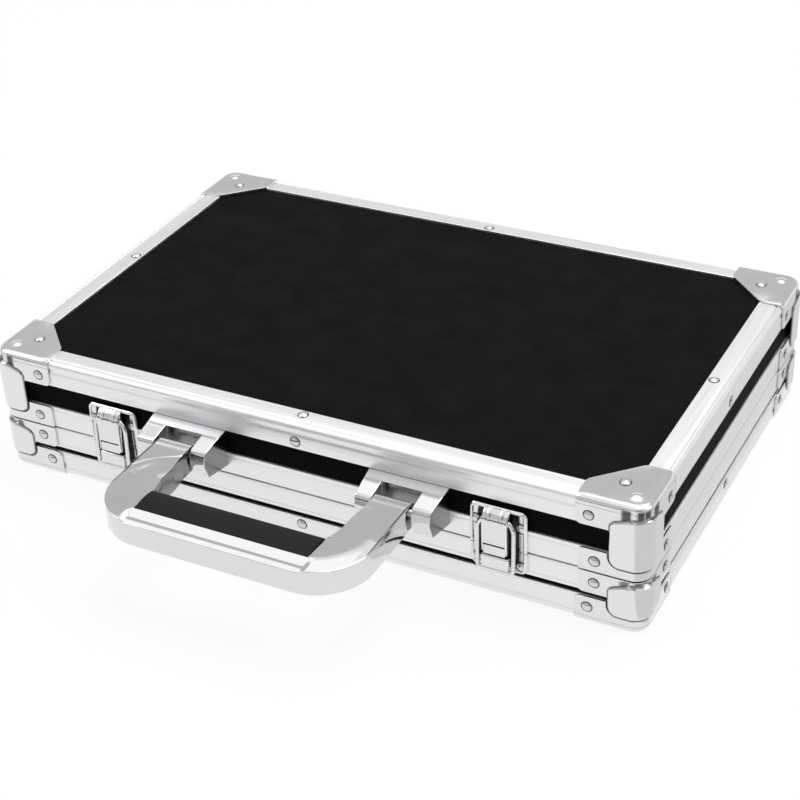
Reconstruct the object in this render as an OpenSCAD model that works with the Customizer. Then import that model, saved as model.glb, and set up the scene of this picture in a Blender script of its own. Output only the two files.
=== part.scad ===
// Miniature carry case: board walls in aluminium edging, pressed corners, draw latches, a folding handle.
// Millimetres, +Z up, front towards -Y. The origin is under the middle of the whole outline, on the ground.

/* [Case] */
// Width over the edging, left to right
case_w = 340; // [320:1:460]
// Depth over the edging, front to back
case_d = 222; // [180:1:320]
// Height of the base, from its edging's underside to the parting line
base_h = 27.8; // [27:0.1:40]
// Height of the lid, from the parting line to its edging's top
lid_h = 37.5; // [36:0.1:60]
// Gap between lid and base at the parting line
parting_gap = 0.3; // [0.2:0.05:0.6]
// Radius of the case's upright corners, measured on the edging
corner_r = 7; // [5:0.5:8]

/* [Boards] */
// Thickness of the side boards
board_t = 3; // [2.5:0.1:4]
// Seam between two boards at a mitred corner
board_seam = 0.05; // [0.02:0.01:0.1]
// Thickness of the lid's and base's large panels
panel_t = 3; // [2.5:0.1:4]

/* [Edging] */
// Wall thickness of the aluminium extrusions
ext_t = 1.2; // [1:0.1:1.4]
// Width of the edge extrusion over the large panel
edge_w = 12.1; // [10:0.1:14]
// Height of the edge extrusion down the side
edge_h = 13.4; // [13:0.1:15]
// Radius of the edge extrusion's nose
nose_r = 2.4; // [2:0.1:3]
// Height of the rim extrusion beside the parting line
rim_h = 11.7; // [11:0.1:12.4]
// Height of the rim extrusion's inner lip
rim_lip_h = 8; // [6:0.5:10]
// Thickness of the rim extrusion's web
rim_web_t = 1.5; // [1.2:0.1:2]
// Depth of the shallow lines pressed along the extrusions
line_depth = 0.35; // [0.2:0.05:0.5]
// Width of the line on the edge extrusion's top, just inside the nose
top_line_w = 1.6; // [1:0.1:2.4]
// Width of the line on the edge extrusion's side
side_line_w = 2.6; // [1.6:0.1:3]

/* [Corners] */
// Thickness of the pressed steel corners
cap_t = 1; // [0.8:0.1:1.2]
// Reach of a cap's wings along each edge
cap_reach = 30; // [29:0.5:36]
// Reach of a rim corner's ears along each side
wrap_reach = 28.5; // [27:0.5:34]
// Reach of the upright tongue round the corner
tongue_reach = 16.5; // [15:0.5:17.5]
// How far the tongue laps onto the piece past the black stripe
tongue_lap = 6.5; // [5:0.5:8]
// Radius of the round lower corner of a cap's ear
ear_r = 3; // [1:0.5:4]
// Radius of a rim corner's round ear ends
wrap_r = 1.5; // [0.5:0.5:3]
// Radius of the tongue's round lower corners
tongue_r = 4.5; // [2:0.5:5.5]
// Distance of a cap's ear rivet from the corner
cap_rivet = 26; // [24:0.5:26.5]
// Distance of a rim ear's rivet from the corner
wrap_rivet = 23; // [21:0.5:24]
// Distance of a cap's top rivet from both faces
cap_top_rivet = 16; // [14:0.5:18]
// Distance of a cap's pressed bump from both faces
bump_place = 8; // [7.5:0.1:9]
// Radius of a cap's pressed bump
bump_r = 3.2; // [2:0.1:4]
// Height of a cap's pressed bump
bump_h = 0.9; // [0.5:0.1:1.2]

/* [Rivets] */
// Radius of a rivet's domed head
rivet_head_r = 2.5; // [2.2:0.1:3]
// Height of a rivet's domed head
rivet_head_h = 1.1; // [0.8:0.1:1.4]
// Radius of a rivet's shank
rivet_r = 1.3; // [1:0.05:1.5]
// Distance of a side's middle rivet from the edge's top or bottom
centre_rivet_z = 9.4; // [8:0.2:10]
// Distance of an edge's middle top rivet from the case's side
centre_rivet_y = 8.8; // [7:0.2:9.2]
// Distance of a cap's ear rivet from the edge's top or bottom
ear_rivet_z = 8; // [6.5:0.1:9]
// Clearance round a rivet's or screw's shank
shank_gap = 0.05; // [0.02:0.01:0.1]

/* [Handle] */
// Distance of each handle bracket from the middle
bracket_x = 58; // [54:0.5:64]
// Width of a bracket at the case
bracket_w = 40; // [38:0.5:44]
// Width of a bracket at its nose
bracket_nose_w = 37.4; // [36:0.2:40]
// Reach of the handle in front of the case
handle_reach = 76; // [74:0.5:90]
// Distance of the handle's axis in front of the case
handle_axis_out = 15; // [14:0.5:17]
// Radius of the bracket's nose round the axis
bracket_nose_r = 6.5; // [6:0.1:7]
// Width of the handle's arm between the prongs
arm_w = 18; // [16:0.2:19]
// Gap between the arm and each prong
arm_gap = 0.7; // [0.4:0.1:1]
// Height of the handle's body
handle_h = 13.5; // [12:0.1:15]
// Depth of the hand grip, front to back
grip_d = 23.5; // [21:0.5:24]
// Radius of the handle's front corners
handle_corner_r = 20; // [19:0.5:22]
// Distance of the rubber grip pad's ends inside the brackets' middles
pad_end = 14.5; // [14.5:0.5:24]
// Depth of the rubber grip pad, front to back
pad_d = 14.4; // [12:0.2:16]
// Thickness of the rubber grip pad
pad_t = 6; // [4:0.5:7]
// Radius of the handle's rounded top edges
handle_edge_r = 3; // [1:0.5:4]
// Depth of the bead's groove in front of the pad
bead_depth = 0.8; // [0.4:0.1:1.2]
// Radius of the handle's pivot pins
handle_pin_r = 1.8; // [1.4:0.1:2.2]
// Radius of a bracket screw
screw_r = 1.4; // [1:0.1:1.6]
// Radius of a bracket screw's head
screw_head_r = 2.8; // [2.2:0.1:3.2]
// Height of a bracket screw's head
screw_head_h = 1.6; // [1:0.1:1.8]

/* [Latches] */
// Distance of each latch from the middle
latch_x = 102; // [98:0.5:110]
// Width of the latch plates
latch_w = 27.5; // [26:0.5:30]
// Height of the latch's upper plate
latch_plate_h = 21.4; // [20.5:0.1:23.5]
// Thickness of the latch plates
latch_t = 1; // [0.8:0.1:1.2]
// Radius of the latch plates' outer corners
plate_r = 3; // [1.5:0.5:4]
// Distance of a plate's rivets from its sides
plate_rivet_in = 2.8; // [2.6:0.1:3]
// Width of the latch lever
lever_w = 12.3; // [11:0.1:13]
// Thickness of the lever's sheet
lever_t = 0.9; // [0.7:0.05:1]
// Radius of the bail's wire
wire_r = 1; // [0.8:0.05:1.1]
// Radius of the lever's pivot pin
lever_pin_r = 0.8; // [0.6:0.05:1]
// Clearance between the bail's cross bar and the keeper's lip
bail_gap = 0.35; // [0.3:0.05:0.5]
// Running clearance round every pivot pin
pin_gap = 0.06; // [0.03:0.01:0.09]

/* [Hinges] */
// Distance of each hinge from the middle
hinge_x = 100; // [60:1:110]
// Width of a hinge
hinge_w = 36; // [30:1:50]
// Radius of the hinge's knuckles
knuckle_r = 2.8; // [2.5:0.1:3]
// Radius of the hinge pin
hinge_pin_r = 1.3; // [1:0.05:1.5]
// Clearance between a leaf and the other leaf's knuckles
hinge_gap = 0.4; // [0.3:0.05:0.6]

/* [Foam] */
// Pockets across the tray
pocket_nx = 6; // [3:1:7]
// Pockets from front to back
pocket_ny = 4; // [2:1:4]
// Thickness of the foam between two pockets
foam_rib = 8; // [6:0.5:12]
// Thickness of the foam under the pockets
foam_floor = 4; // [3:0.5:6]
// Clearance between the foam and the rim's inner lip
foam_gap = 0.8; // [0.5:0.1:1.5]
// Room between the foam's face and the parting line
foam_drop = 1.2; // [0.8:0.1:2]

/* [Hidden] */
$fn = 48;

// Colours, as the photograph shows them
c_alu = "#e2e3e5";
c_steel = "#cfd1d4";
c_black = "#1c1c1c";
c_foam = "#2a2b2d";
c_rubber = "#181818";

// Heights, from the ground up
floor_z = cap_t;
parting_z = floor_z + base_h;
lid_top_z = parting_z + lid_h;
lid_low_z = parting_z + parting_gap / 2;
base_high_z = parting_z - parting_gap / 2;
board_in = ext_t + board_t;

// The whole outline is centred on the origin, so the case stands a little behind it
hinge_out = knuckle_r + 0.5;
back_reach = hinge_out + knuckle_r;
case_y = (handle_reach - back_reach) / 2;
fuse = 0.01;
over = 1;

// Where the extrusions stop, under the pressed corners
end_gap = corner_r + 1;

// The faint line near a rim extrusion's outer edge
rim_line_z = 2.2;
rim_line_w = 0.5;

// Rivets
wrap_rivet_z = rim_h / 2;
shank_len = board_in - 0.4;
leaf_t = ext_t;
leaf_rivet_z = 7.6;
leaf_rivet_in = 6;

// Handle, measured from the case's front face and its own axis
edge_low_z = lid_top_z - edge_h;
stripe_low_z = lid_low_z + rim_h;
base_edge_z = floor_z + edge_h;
handle_axis_z = edge_low_z - bracket_nose_r - 0.4;
arm_r = bracket_nose_r - 0.5;
handle_top = 5;
handle_low = handle_top - handle_h;
handle_corner_x = bracket_x + arm_w / 2 - handle_corner_r;
handle_corner_y = -handle_reach + handle_corner_r;
pad_back = -handle_reach + grip_d;
pad_w = 2 * (bracket_x - pad_end);
bead_y = -handle_reach + 3.6;
bead_w = 1.6;
arm_flare = 6;
flare_d = 10;
notch_w = arm_w + 2 * arm_gap;
notch_back = bracket_nose_r + 2.4;
bracket_drop = bracket_nose_r + 2.2;
bracket_seam = 0.2;
pin_bite = 5;
screw_x = 14;
screw_z = handle_axis_z + 0.6;
screw_bite = 4;

// Latch, measured from the case's front face and the parting line
lever_axis = [-latch_t - 2.2, 1];
lever_end_r = 1.9;
lever_knuckle_r = 2.4;
lever_face = lever_axis[0] - 2.4;
lever_open_z = 4.1;
lever_arc_r = 7.3;
lever_arc_z = latch_plate_h - 6.9;
lever_back = -latch_t - 0.5;
lever_side_gap = 0.35;
bail_axis = [-latch_t - 2.4, lever_arc_z + 1.5];
keeper_front = -latch_t - 2;
keeper_top = -2.9;
keeper_low = -8.6;
keeper_lip_t = 0.8;
keeper_lip_w = lever_w + 1;
bail_bar = [keeper_front - bail_gap - wire_r, keeper_low - 0.7];
bail_x = lever_w / 2 + wire_r + 1.5;
plate_rivet_x = latch_w / 2 - plate_rivet_in;
plate_rivet_z = 12.8;
keeper_rivet_z = -7.9;

// Hinges
knuckle_len = hinge_w / 3;
knuckle_play = 0.2;

// Foam
foam_in = board_in + ext_t + foam_gap;
foam_w = case_w - 2 * foam_in;
foam_d = case_d - 2 * foam_in;
foam_low_z = floor_z + ext_t + panel_t;
foam_high_z = parting_z - foam_drop;
pocket_w = (foam_w - (pocket_nx + 1) * foam_rib) / pocket_nx;
pocket_d = (foam_d - (pocket_ny + 1) * foam_rib) / pocket_ny;

// A side's length and its distance from the middle of the case
function side_len(i) = (i % 2 == 0) ? case_w : case_d;
function side_out(i) = side_len(i + 1) / 2;

// ---- placing ----

// Sides 0 front, 1 right, 2 back, 3 left: x runs along the side, y points into the case
module on_side(i) {
  translate([0, case_y, 0]) rotate([0, 0, 90 * i]) translate([0, -side_out(i), 0]) children();
}

// A corner: x and y point into the case from its front left corner, mirrored for the others
module at_corner(right, back) {
  translate([0, case_y, 0]) mirror([right ? 1 : 0, 0, 0]) mirror([0, back ? 1 : 0, 0])
    translate([-case_w / 2, -case_d / 2, 0]) children();
}

// The same shape turned over about the middle of the parting line's height
module upside_down() {
  translate([0, 0, floor_z + lid_top_z]) mirror([0, 0, 1]) children();
}

// A front fitting: x across, y negative in front of the case, z from the height given
module on_front(x, z) {
  translate([x, case_y - case_d / 2, z]) children();
}

// Sweeps a drawing of y and z along x, over a length centred on 0
module along_x(len) {
  rotate([90, 0, 90]) linear_extrude(len, center = true) children();
}

// Sweeps a drawing of x and z along y, from y0 to y1
module along_y(y0, y1) {
  translate([0, y1, 0]) rotate([90, 0, 0]) linear_extrude(y1 - y0) children();
}

// Runs its children on one face and on the other face of the corner
module both_faces() {
  children();
  mirror([1, -1, 0]) children();
}

// ---- rivets ----

// A rivet standing on a face at z 0, with its shank going down
module rivet(depth) {
  dome_r = (rivet_head_r * rivet_head_r + rivet_head_h * rivet_head_h) / (2 * rivet_head_h);
  intersection() {
    translate([0, 0, rivet_head_h - dome_r]) sphere(dome_r);
    cylinder(r = rivet_head_r, h = rivet_head_h);
  }
  translate([0, 0, -depth]) cylinder(r = rivet_r, h = depth + fuse);
}

// The hole that a rivet's shank goes through, from above the face to below it
module rivet_hole(depth) {
  translate([0, 0, -depth - 2 * shank_gap]) cylinder(r = rivet_r + shank_gap, h = depth + 3 * over);
}

// Turns a rivet to stand on a side face, so that it points out of the case
module out_of_side() {
  rotate([90, 0, 0]) children();
}

// The rivets in the middle of each side's edge extrusion, on its top and on its face
module lid_centre_places() {
  for (i = [0:3]) {
    on_side(i) translate([0, centre_rivet_y, lid_top_z]) children();
    on_side(i) translate([0, 0, lid_top_z - centre_rivet_z]) out_of_side() children();
  }
}

// The ear rivets of one corner, at a height and a distance along both faces
module ear_places(along, z) {
  both_faces() translate([along, -cap_t, z]) out_of_side() children();
}

// The two rivets of a latch plate
module plate_places(side, z) {
  for (s = [-1, 1]) on_front(side * latch_x + s * plate_rivet_x, parting_z + z)
    translate([0, -latch_t, 0]) out_of_side() children();
}

// The rivets of a hinge leaf
module leaf_places(side, z) {
  for (s = [-1, 1])
    translate([side * hinge_x + s * (hinge_w / 2 - leaf_rivet_in), case_y + case_d / 2 + leaf_t,
               parting_z + z])
      rotate([-90, 0, 0]) children();
}

module lid_rivets() {
  color(c_steel) {
    lid_centre_places() rivet(shank_len);
    for (r = [false, true], b = [false, true]) at_corner(r, b) {
      ear_places(cap_rivet, lid_top_z - ear_rivet_z) rivet(shank_len + cap_t);
      ear_places(wrap_rivet, parting_z + wrap_rivet_z) rivet(shank_len + cap_t);
      translate([cap_top_rivet, cap_top_rivet, lid_top_z + cap_t]) rivet(cap_t + ext_t + panel_t - 0.4);
    }
    for (s = [-1, 1]) {
      plate_places(s, plate_rivet_z) rivet(shank_len + latch_t);
      leaf_places(s, leaf_rivet_z) rivet(shank_len + leaf_t);
    }
  }
}

module base_rivets() {
  color(c_steel) {
    for (i = [0:3]) on_side(i) translate([0, 0, floor_z + centre_rivet_z]) out_of_side() rivet(shank_len);
    for (r = [false, true], b = [false, true]) at_corner(r, b) {
      ear_places(cap_rivet, floor_z + ear_rivet_z) rivet(shank_len + cap_t);
      ear_places(wrap_rivet, parting_z - wrap_rivet_z) rivet(shank_len + cap_t);
    }
    for (s = [-1, 1]) {
      plate_places(s, keeper_rivet_z) rivet(shank_len + latch_t);
      leaf_places(s, -leaf_rivet_z) rivet(shank_len + leaf_t);
    }
  }
}

// The holes for all of those shanks, cut from the pieces that they hold together
module lid_holes() {
  lid_centre_places() rivet_hole(shank_len);
  for (r = [false, true], b = [false, true]) at_corner(r, b) {
    ear_places(cap_rivet, lid_top_z - ear_rivet_z) rivet_hole(shank_len + cap_t);
    ear_places(wrap_rivet, parting_z + wrap_rivet_z) rivet_hole(shank_len + cap_t);
    translate([cap_top_rivet, cap_top_rivet, lid_top_z + cap_t]) rivet_hole(cap_t + ext_t + panel_t);
  }
  for (s = [-1, 1]) {
    plate_places(s, plate_rivet_z) rivet_hole(shank_len + latch_t);
    leaf_places(s, leaf_rivet_z) rivet_hole(shank_len + leaf_t);
  }
}

module base_holes() {
  for (i = [0:3]) on_side(i) translate([0, 0, floor_z + centre_rivet_z]) out_of_side() rivet_hole(shank_len);
  for (r = [false, true], b = [false, true]) at_corner(r, b) {
    ear_places(cap_rivet, floor_z + ear_rivet_z) rivet_hole(shank_len + cap_t);
    ear_places(wrap_rivet, parting_z - wrap_rivet_z) rivet_hole(shank_len + cap_t);
  }
  for (s = [-1, 1]) {
    plate_places(s, keeper_rivet_z) rivet_hole(shank_len + latch_t);
    leaf_places(s, -leaf_rivet_z) rivet_hole(shank_len + leaf_t);
  }
}

// ---- boards and panels ----

// Takes the sharp upright corners off whatever lies below, at both ends of a side
module corner_cuts(len, inset, r, low_z, high_z) {
  for (s = [0, 1]) mirror([s, 0, 0]) translate([-len / 2 + inset, inset, low_z]) difference() {
    translate([-over, -over, 0]) cube([r + over, r + over, high_z - low_z]);
    translate([r, r, -over]) cylinder(r = r, h = high_z - low_z + 2 * over);
  }
}

// The mitred room of one side, between two heights and from one depth to another, less a seam at both ends
module mitred(len, near, far, low_z, high_z, seam = 0) {
  half = len / 2 - seam;
  translate([0, 0, low_z]) linear_extrude(high_z - low_z)
    polygon([[-half + near, near], [half - near, near], [half - far, far], [-half + far, far]]);
}

// Four mitred boards between two heights
module boards(low_z, high_z) {
  for (i = [0:3]) on_side(i) difference() {
    mitred(side_len(i), ext_t, board_in, low_z, high_z, board_seam);
    corner_cuts(side_len(i), ext_t, corner_r - ext_t, low_z - over, high_z + over);
  }
}

// A large panel with round corners
module panel(low_z) {
  r = corner_r - ext_t;
  w = case_w - 2 * ext_t;
  d = case_d - 2 * ext_t;
  translate([0, case_y, low_z]) {
    translate([-w / 2 + r, -d / 2, 0]) cube([w - 2 * r, d, panel_t]);
    translate([-w / 2, -d / 2 + r, 0]) cube([w, d - 2 * r, panel_t]);
    for (sx = [-1, 1], sy = [-1, 1])
      translate([sx * (w / 2 - r), sy * (d / 2 - r), 0]) cylinder(r = r, h = panel_t);
  }
}

module lid_panel() {
  color(c_black) difference() {
    panel(lid_top_z - ext_t - panel_t);
    lid_holes();
  }
}

module lid_walls() {
  color(c_black) difference() {
    boards(lid_low_z + rim_web_t, lid_top_z - ext_t - panel_t);
    lid_holes();
    for (s = [-1, 1]) bracket_screw_places(s) cylinder(r = screw_r + shank_gap, h = board_in + screw_bite);
  }
}

module base_panel() {
  color(c_black) panel(floor_z + ext_t);
}

module base_walls() {
  color(c_black) difference() {
    boards(floor_z + ext_t + panel_t, base_high_z - rim_web_t);
    base_holes();
  }
}

// ---- extrusions ----

// Edge extrusion: y into the case, z down from the edge's top at 0
module edge_profile() {
  difference() {
    union() {
      translate([0, -edge_h]) square([ext_t, edge_h - nose_r]);
      translate([nose_r, -ext_t]) square([edge_w - nose_r, ext_t]);
      difference() {
        translate([nose_r, -nose_r]) circle(nose_r);
        translate([ext_t, -3 * nose_r]) square([3 * nose_r, 3 * nose_r - ext_t]);
        translate([nose_r, -nose_r]) square(2 * nose_r);
        translate([-over, -3 * nose_r]) square([2 * nose_r, 2 * nose_r]);
      }
    }
    translate([nose_r, -line_depth]) square([top_line_w, line_depth + over]);
    translate([-over, -nose_r - 1.2 - side_line_w]) square([line_depth + over, side_line_w]);
  }
}

// Rim extrusion of the lid: y into the case, z up from the parting line
module rim_profile() {
  difference() {
    square([ext_t, rim_h]);
    translate([-over, rim_h - rim_line_z]) square([line_depth + over, rim_line_w]);
  }
  square([board_in + ext_t, rim_web_t]);
  translate([board_in, 0]) square([ext_t, rim_lip_h]);
}

// One side's extrusion, mitred at the corners and stopped short of them outside
module extrusion(i) {
  len = side_len(i);
  intersection() {
    along_x(len) children();
    union() {
      mitred(len, end_gap, edge_w + over, 0, lid_top_z + over);
      translate([-len / 2 + end_gap, -over, 0]) cube([len - 2 * end_gap, end_gap + over, lid_top_z + over]);
    }
  }
}

module lid_edge(i) {
  color(c_alu) difference() {
    on_side(i) extrusion(i) translate([0, lid_top_z]) edge_profile();
    lid_holes();
  }
}

module base_edge(i) {
  color(c_alu) difference() {
    on_side(i) extrusion(i) translate([0, floor_z]) mirror([0, 1]) edge_profile();
    base_holes();
  }
}

module lid_rim(i) {
  color(c_alu) difference() {
    on_side(i) extrusion(i) translate([0, lid_low_z]) rim_profile();
    lid_holes();
  }
}

module base_rim(i) {
  color(c_alu) difference() {
    on_side(i) extrusion(i) translate([0, base_high_z]) mirror([0, 1]) rim_profile();
    base_holes();
  }
}

module lid_edge_front() { lid_edge(0); }
module lid_edge_right() { lid_edge(1); }
module lid_edge_back() { lid_edge(2); }
module lid_edge_left() { lid_edge(3); }
module lid_rim_front() { lid_rim(0); }
module lid_rim_right() { lid_rim(1); }
module lid_rim_back() { lid_rim(2); }
module lid_rim_left() { lid_rim(3); }
module base_edge_front() { base_edge(0); }
module base_edge_right() { base_edge(1); }
module base_edge_back() { base_edge(2); }
module base_edge_left() { base_edge(3); }
module base_rim_front() { base_rim(0); }
module base_rim_right() { base_rim(1); }
module base_rim_back() { base_rim(2); }
module base_rim_left() { base_rim(3); }

// ---- pressed corners ----

// A solid corner with round upright and top edges, standing out from the faces by grow
module round_corner(grow, top_z, depth, reach) {
  rv = corner_r + grow;
  re = nose_r + grow;
  mid = corner_r;
  low = top_z - depth;
  translate([mid, -grow, low]) cube([reach - mid, reach + grow, depth - re]);
  translate([-grow, mid, low]) cube([reach + grow, reach - mid, depth - re]);
  translate([mid, mid, low]) cylinder(r = rv, h = depth - re);
  translate([mid, re - grow, top_z - re]) cube([reach - mid, reach - re + grow, re]);
  translate([re - grow, mid, top_z - re]) cube([reach - re + grow, reach - mid, re]);
  translate([mid, mid, top_z - re]) cylinder(r = rv - re, h = re);
  translate([mid, re - grow, top_z - re]) rotate([0, 90, 0]) cylinder(r = re, h = reach - mid);
  translate([re - grow, mid, top_z - re]) rotate([-90, 0, 0]) cylinder(r = re, h = reach - mid);
  translate([mid, mid, top_z - re]) rotate_extrude() translate([rv - re, 0]) circle(re);
}

// A plain upright corner between two heights
module upright_corner(grow, low_z, high_z, reach) {
  translate([corner_r, -grow, low_z]) cube([reach - corner_r, reach + grow, high_z - low_z]);
  translate([-grow, corner_r, low_z]) cube([reach + grow, reach - corner_r, high_z - low_z]);
  translate([corner_r, corner_r, low_z]) cylinder(r = corner_r + grow, h = high_z - low_z);
}

// An ear's outline: x along the side up to reach, z from low to high, its far lower corner round
module ear_outline(reach, low_z, high_z, r) {
  translate([-4 * over, low_z + r]) square([reach + 4 * over, high_z - low_z - r]);
  translate([-4 * over, low_z]) square([reach + 4 * over - r, r + fuse]);
  translate([reach - r, low_z + r]) circle(r);
}

// The cap of a top corner: two wings over the edging, an ear down each side, and the bump
module cap_shell(bumped) {
  inner = edge_w + 2 * shank_gap;
  diagonal = cap_reach + edge_w;
  difference() {
    intersection() {
      round_corner(cap_t, lid_top_z + cap_t, edge_h + 2, cap_reach + over);
      union() {
        translate([0, 0, lid_top_z - nose_r - over]) linear_extrude(nose_r + 3 * over)
          polygon([[-2 * over, -2 * over], [cap_reach, -2 * over], [cap_reach, edge_w],
                   [edge_w, cap_reach], [-2 * over, cap_reach]]);
        both_faces() along_y(-2 * over, corner_r)
          ear_outline(cap_reach, edge_low_z, lid_top_z + 2 * over, ear_r);
      }
    }
    difference() {
      round_corner(0, lid_top_z, edge_h + 3, cap_reach + 2 * over);
      translate([0, 0, lid_top_z - ext_t]) linear_extrude(ext_t + over)
        polygon([[inner, inner], [diagonal - inner, inner], [inner, diagonal - inner]]);
    }
  }
  if (bumped) intersection() {
    sphere_r = (bump_r * bump_r + bump_h * bump_h) / (2 * bump_h);
    translate([bump_place, bump_place, lid_top_z + cap_t + bump_h - sphere_r]) sphere(sphere_r);
    translate([bump_place, bump_place, lid_top_z + cap_t - 0.2]) cylinder(r = bump_r, h = bump_h + over);
  }
}

// The tongue that runs down round the corner, from high_z to low_z, over a piece that ends at over_z
module tongue(low_z, high_z, over_z) {
  difference() {
    intersection() {
      upright_corner(2 * cap_t, low_z, high_z, tongue_reach + over);
      both_faces() along_y(-3 * over, corner_r + over) ear_outline(tongue_reach, low_z, high_z, tongue_r);
    }
    upright_corner(0, over_z, high_z + over, tongue_reach + 2 * over);
    upright_corner(cap_t + shank_gap, low_z - over, over_z + fuse, tongue_reach + 2 * over);
  }
}

// The ear-to-ear wrap round a rim's corner, standing on the height given
module wrap(low_z) {
  difference() {
    intersection() {
      upright_corner(cap_t, low_z, low_z + rim_h, wrap_reach + over);
      both_faces() along_y(-2 * over, corner_r + over) translate([0, low_z]) difference() {
        translate([-3 * over, 0]) square([wrap_reach + 3 * over, rim_h]);
        translate([wrap_reach - wrap_r, rim_h - wrap_r]) difference() {
          square(wrap_r + over);
          circle(wrap_r);
        }
      }
    }
    upright_corner(0, low_z - over, low_z + rim_h + over, wrap_reach + 2 * over);
  }
}

module lid_cap(right, back) {
  color(c_steel) difference() {
    at_corner(right, back) {
      cap_shell(true);
      tongue(stripe_low_z - tongue_lap, edge_low_z + 2 * over, stripe_low_z + 2 * shank_gap);
    }
    lid_holes();
  }
}

module lid_wrap(right, back) {
  color(c_steel) difference() {
    at_corner(right, back) wrap(lid_low_z);
    lid_holes();
  }
}

module base_cap(right, back) {
  color(c_steel) difference() {
    upside_down() at_corner(right, back) cap_shell(false);
    base_holes();
  }
}

module base_wrap(right, back) {
  color(c_steel) difference() {
    at_corner(right, back) {
      translate([0, 0, 2 * base_high_z]) mirror([0, 0, 1]) wrap(base_high_z);
      tongue(base_edge_z - tongue_lap, base_high_z - rim_h + 2 * over, base_edge_z + 2 * shank_gap);
    }
    base_holes();
  }
}

module lid_cap_front_left() { lid_cap(false, false); }
module lid_cap_front_right() { lid_cap(true, false); }
module lid_cap_back_right() { lid_cap(true, true); }
module lid_cap_back_left() { lid_cap(false, true); }
module lid_wrap_front_left() { lid_wrap(false, false); }
module lid_wrap_front_right() { lid_wrap(true, false); }
module lid_wrap_back_right() { lid_wrap(true, true); }
module lid_wrap_back_left() { lid_wrap(false, true); }
module base_cap_front_left() { base_cap(false, false); }
module base_cap_front_right() { base_cap(true, false); }
module base_cap_back_right() { base_cap(true, true); }
module base_cap_back_left() { base_cap(false, true); }
module base_wrap_front_left() { base_wrap(false, false); }
module base_wrap_front_right() { base_wrap(true, false); }
module base_wrap_back_right() { base_wrap(true, true); }
module base_wrap_back_left() { base_wrap(false, true); }

// ---- foam ----

module lid_foam() {
  color(c_foam) translate([-foam_w / 2, case_y - foam_d / 2, parting_z + foam_drop])
    cube([foam_w, foam_d, lid_h - ext_t - panel_t - foam_drop]);
}

module base_foam() {
  color(c_foam) difference() {
    translate([-foam_w / 2, case_y - foam_d / 2, foam_low_z])
      cube([foam_w, foam_d, foam_high_z - foam_low_z]);
    for (i = [0:pocket_nx - 1], j = [0:pocket_ny - 1])
      translate([-foam_w / 2 + foam_rib + i * (pocket_w + foam_rib),
                 case_y - foam_d / 2 + foam_rib + j * (pocket_d + foam_rib), foam_low_z + foam_floor])
        cube([pocket_w, pocket_d, foam_high_z - foam_low_z]);
  }
}

// ---- handle and its brackets ----

// The screws of one bracket: z 0 at the board's inner face, pointing out of the case
module bracket_screw_places(side) {
  for (s = [-1, 1]) translate([side * bracket_x + s * screw_x, case_y - case_d / 2 + board_in, screw_z])
    rotate([90, 0, 0]) children();
}

module bracket_screws() {
  color(c_steel) for (side = [-1, 1]) bracket_screw_places(side) {
    translate([0, 0, -screw_head_h]) cylinder(r = screw_head_r, h = screw_head_h);
    translate([0, 0, -fuse]) cylinder(r = screw_r, h = board_in + screw_bite - 0.3);
  }
}

// A bracket seen from its side: a nose round the axis, drawn back to the case's front at both edges
module bracket_profile() {
  top_z = edge_low_z - bracket_seam;
  low_z = handle_axis_z - bracket_drop;
  translate([-handle_axis_out, handle_axis_z]) circle(bracket_nose_r);
  polygon([[0, low_z], [0, top_z], [-handle_axis_out, handle_axis_z + bracket_nose_r],
           [-handle_axis_out, handle_axis_z - bracket_nose_r]]);
}

module bracket(side) {
  nose_y = -handle_axis_out - bracket_nose_r - over;
  color(c_steel) difference() {
    union() {
      intersection() {
        on_front(side * bracket_x, 0) along_x(bracket_w) bracket_profile();
        on_front(side * bracket_x, 0) linear_extrude(lid_top_z)
          polygon([[-bracket_w / 2, over], [bracket_w / 2, over],
                   [bracket_nose_w / 2, nose_y], [-bracket_nose_w / 2, nose_y]]);
      }
      on_front(side * bracket_x, stripe_low_z + bracket_seam)
        translate([-bracket_w / 2, -fuse, 0])
          cube([bracket_w, ext_t + fuse, edge_low_z - stripe_low_z - 2 * bracket_seam]);
    }
    on_front(side * bracket_x, 0)
      translate([-notch_w / 2, nose_y, 0]) cube([notch_w, notch_back - nose_y - handle_axis_out, lid_top_z]);
    bracket_screw_places(side) cylinder(r = screw_r + shank_gap, h = board_in + screw_bite);
    on_front(side * bracket_x, handle_axis_z) translate([0, -handle_axis_out, 0]) rotate([0, 90, 0])
      cylinder(r = handle_pin_r + shank_gap / 2, h = notch_w + 2 * pin_bite, center = true);
  }
}

module bracket_left() { bracket(-1); }
module bracket_right() { bracket(1); }

module handle_pins() {
  color(c_steel) for (side = [-1, 1])
    on_front(side * bracket_x, handle_axis_z) translate([0, -handle_axis_out, 0]) rotate([0, 90, 0])
      cylinder(r = handle_pin_r, h = notch_w + 2 * pin_bite - 4 * shank_gap, center = true);
}

// The handle's outer edge in section: x out from the corner's centre, z about the axis, round on top
module handle_edge(reach) {
  r = handle_edge_r;
  translate([0, handle_low]) square([reach, handle_h - r]);
  translate([0, handle_top - r]) square([reach - r, r]);
  translate([reach - r, handle_top - r]) circle(r);
}

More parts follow.
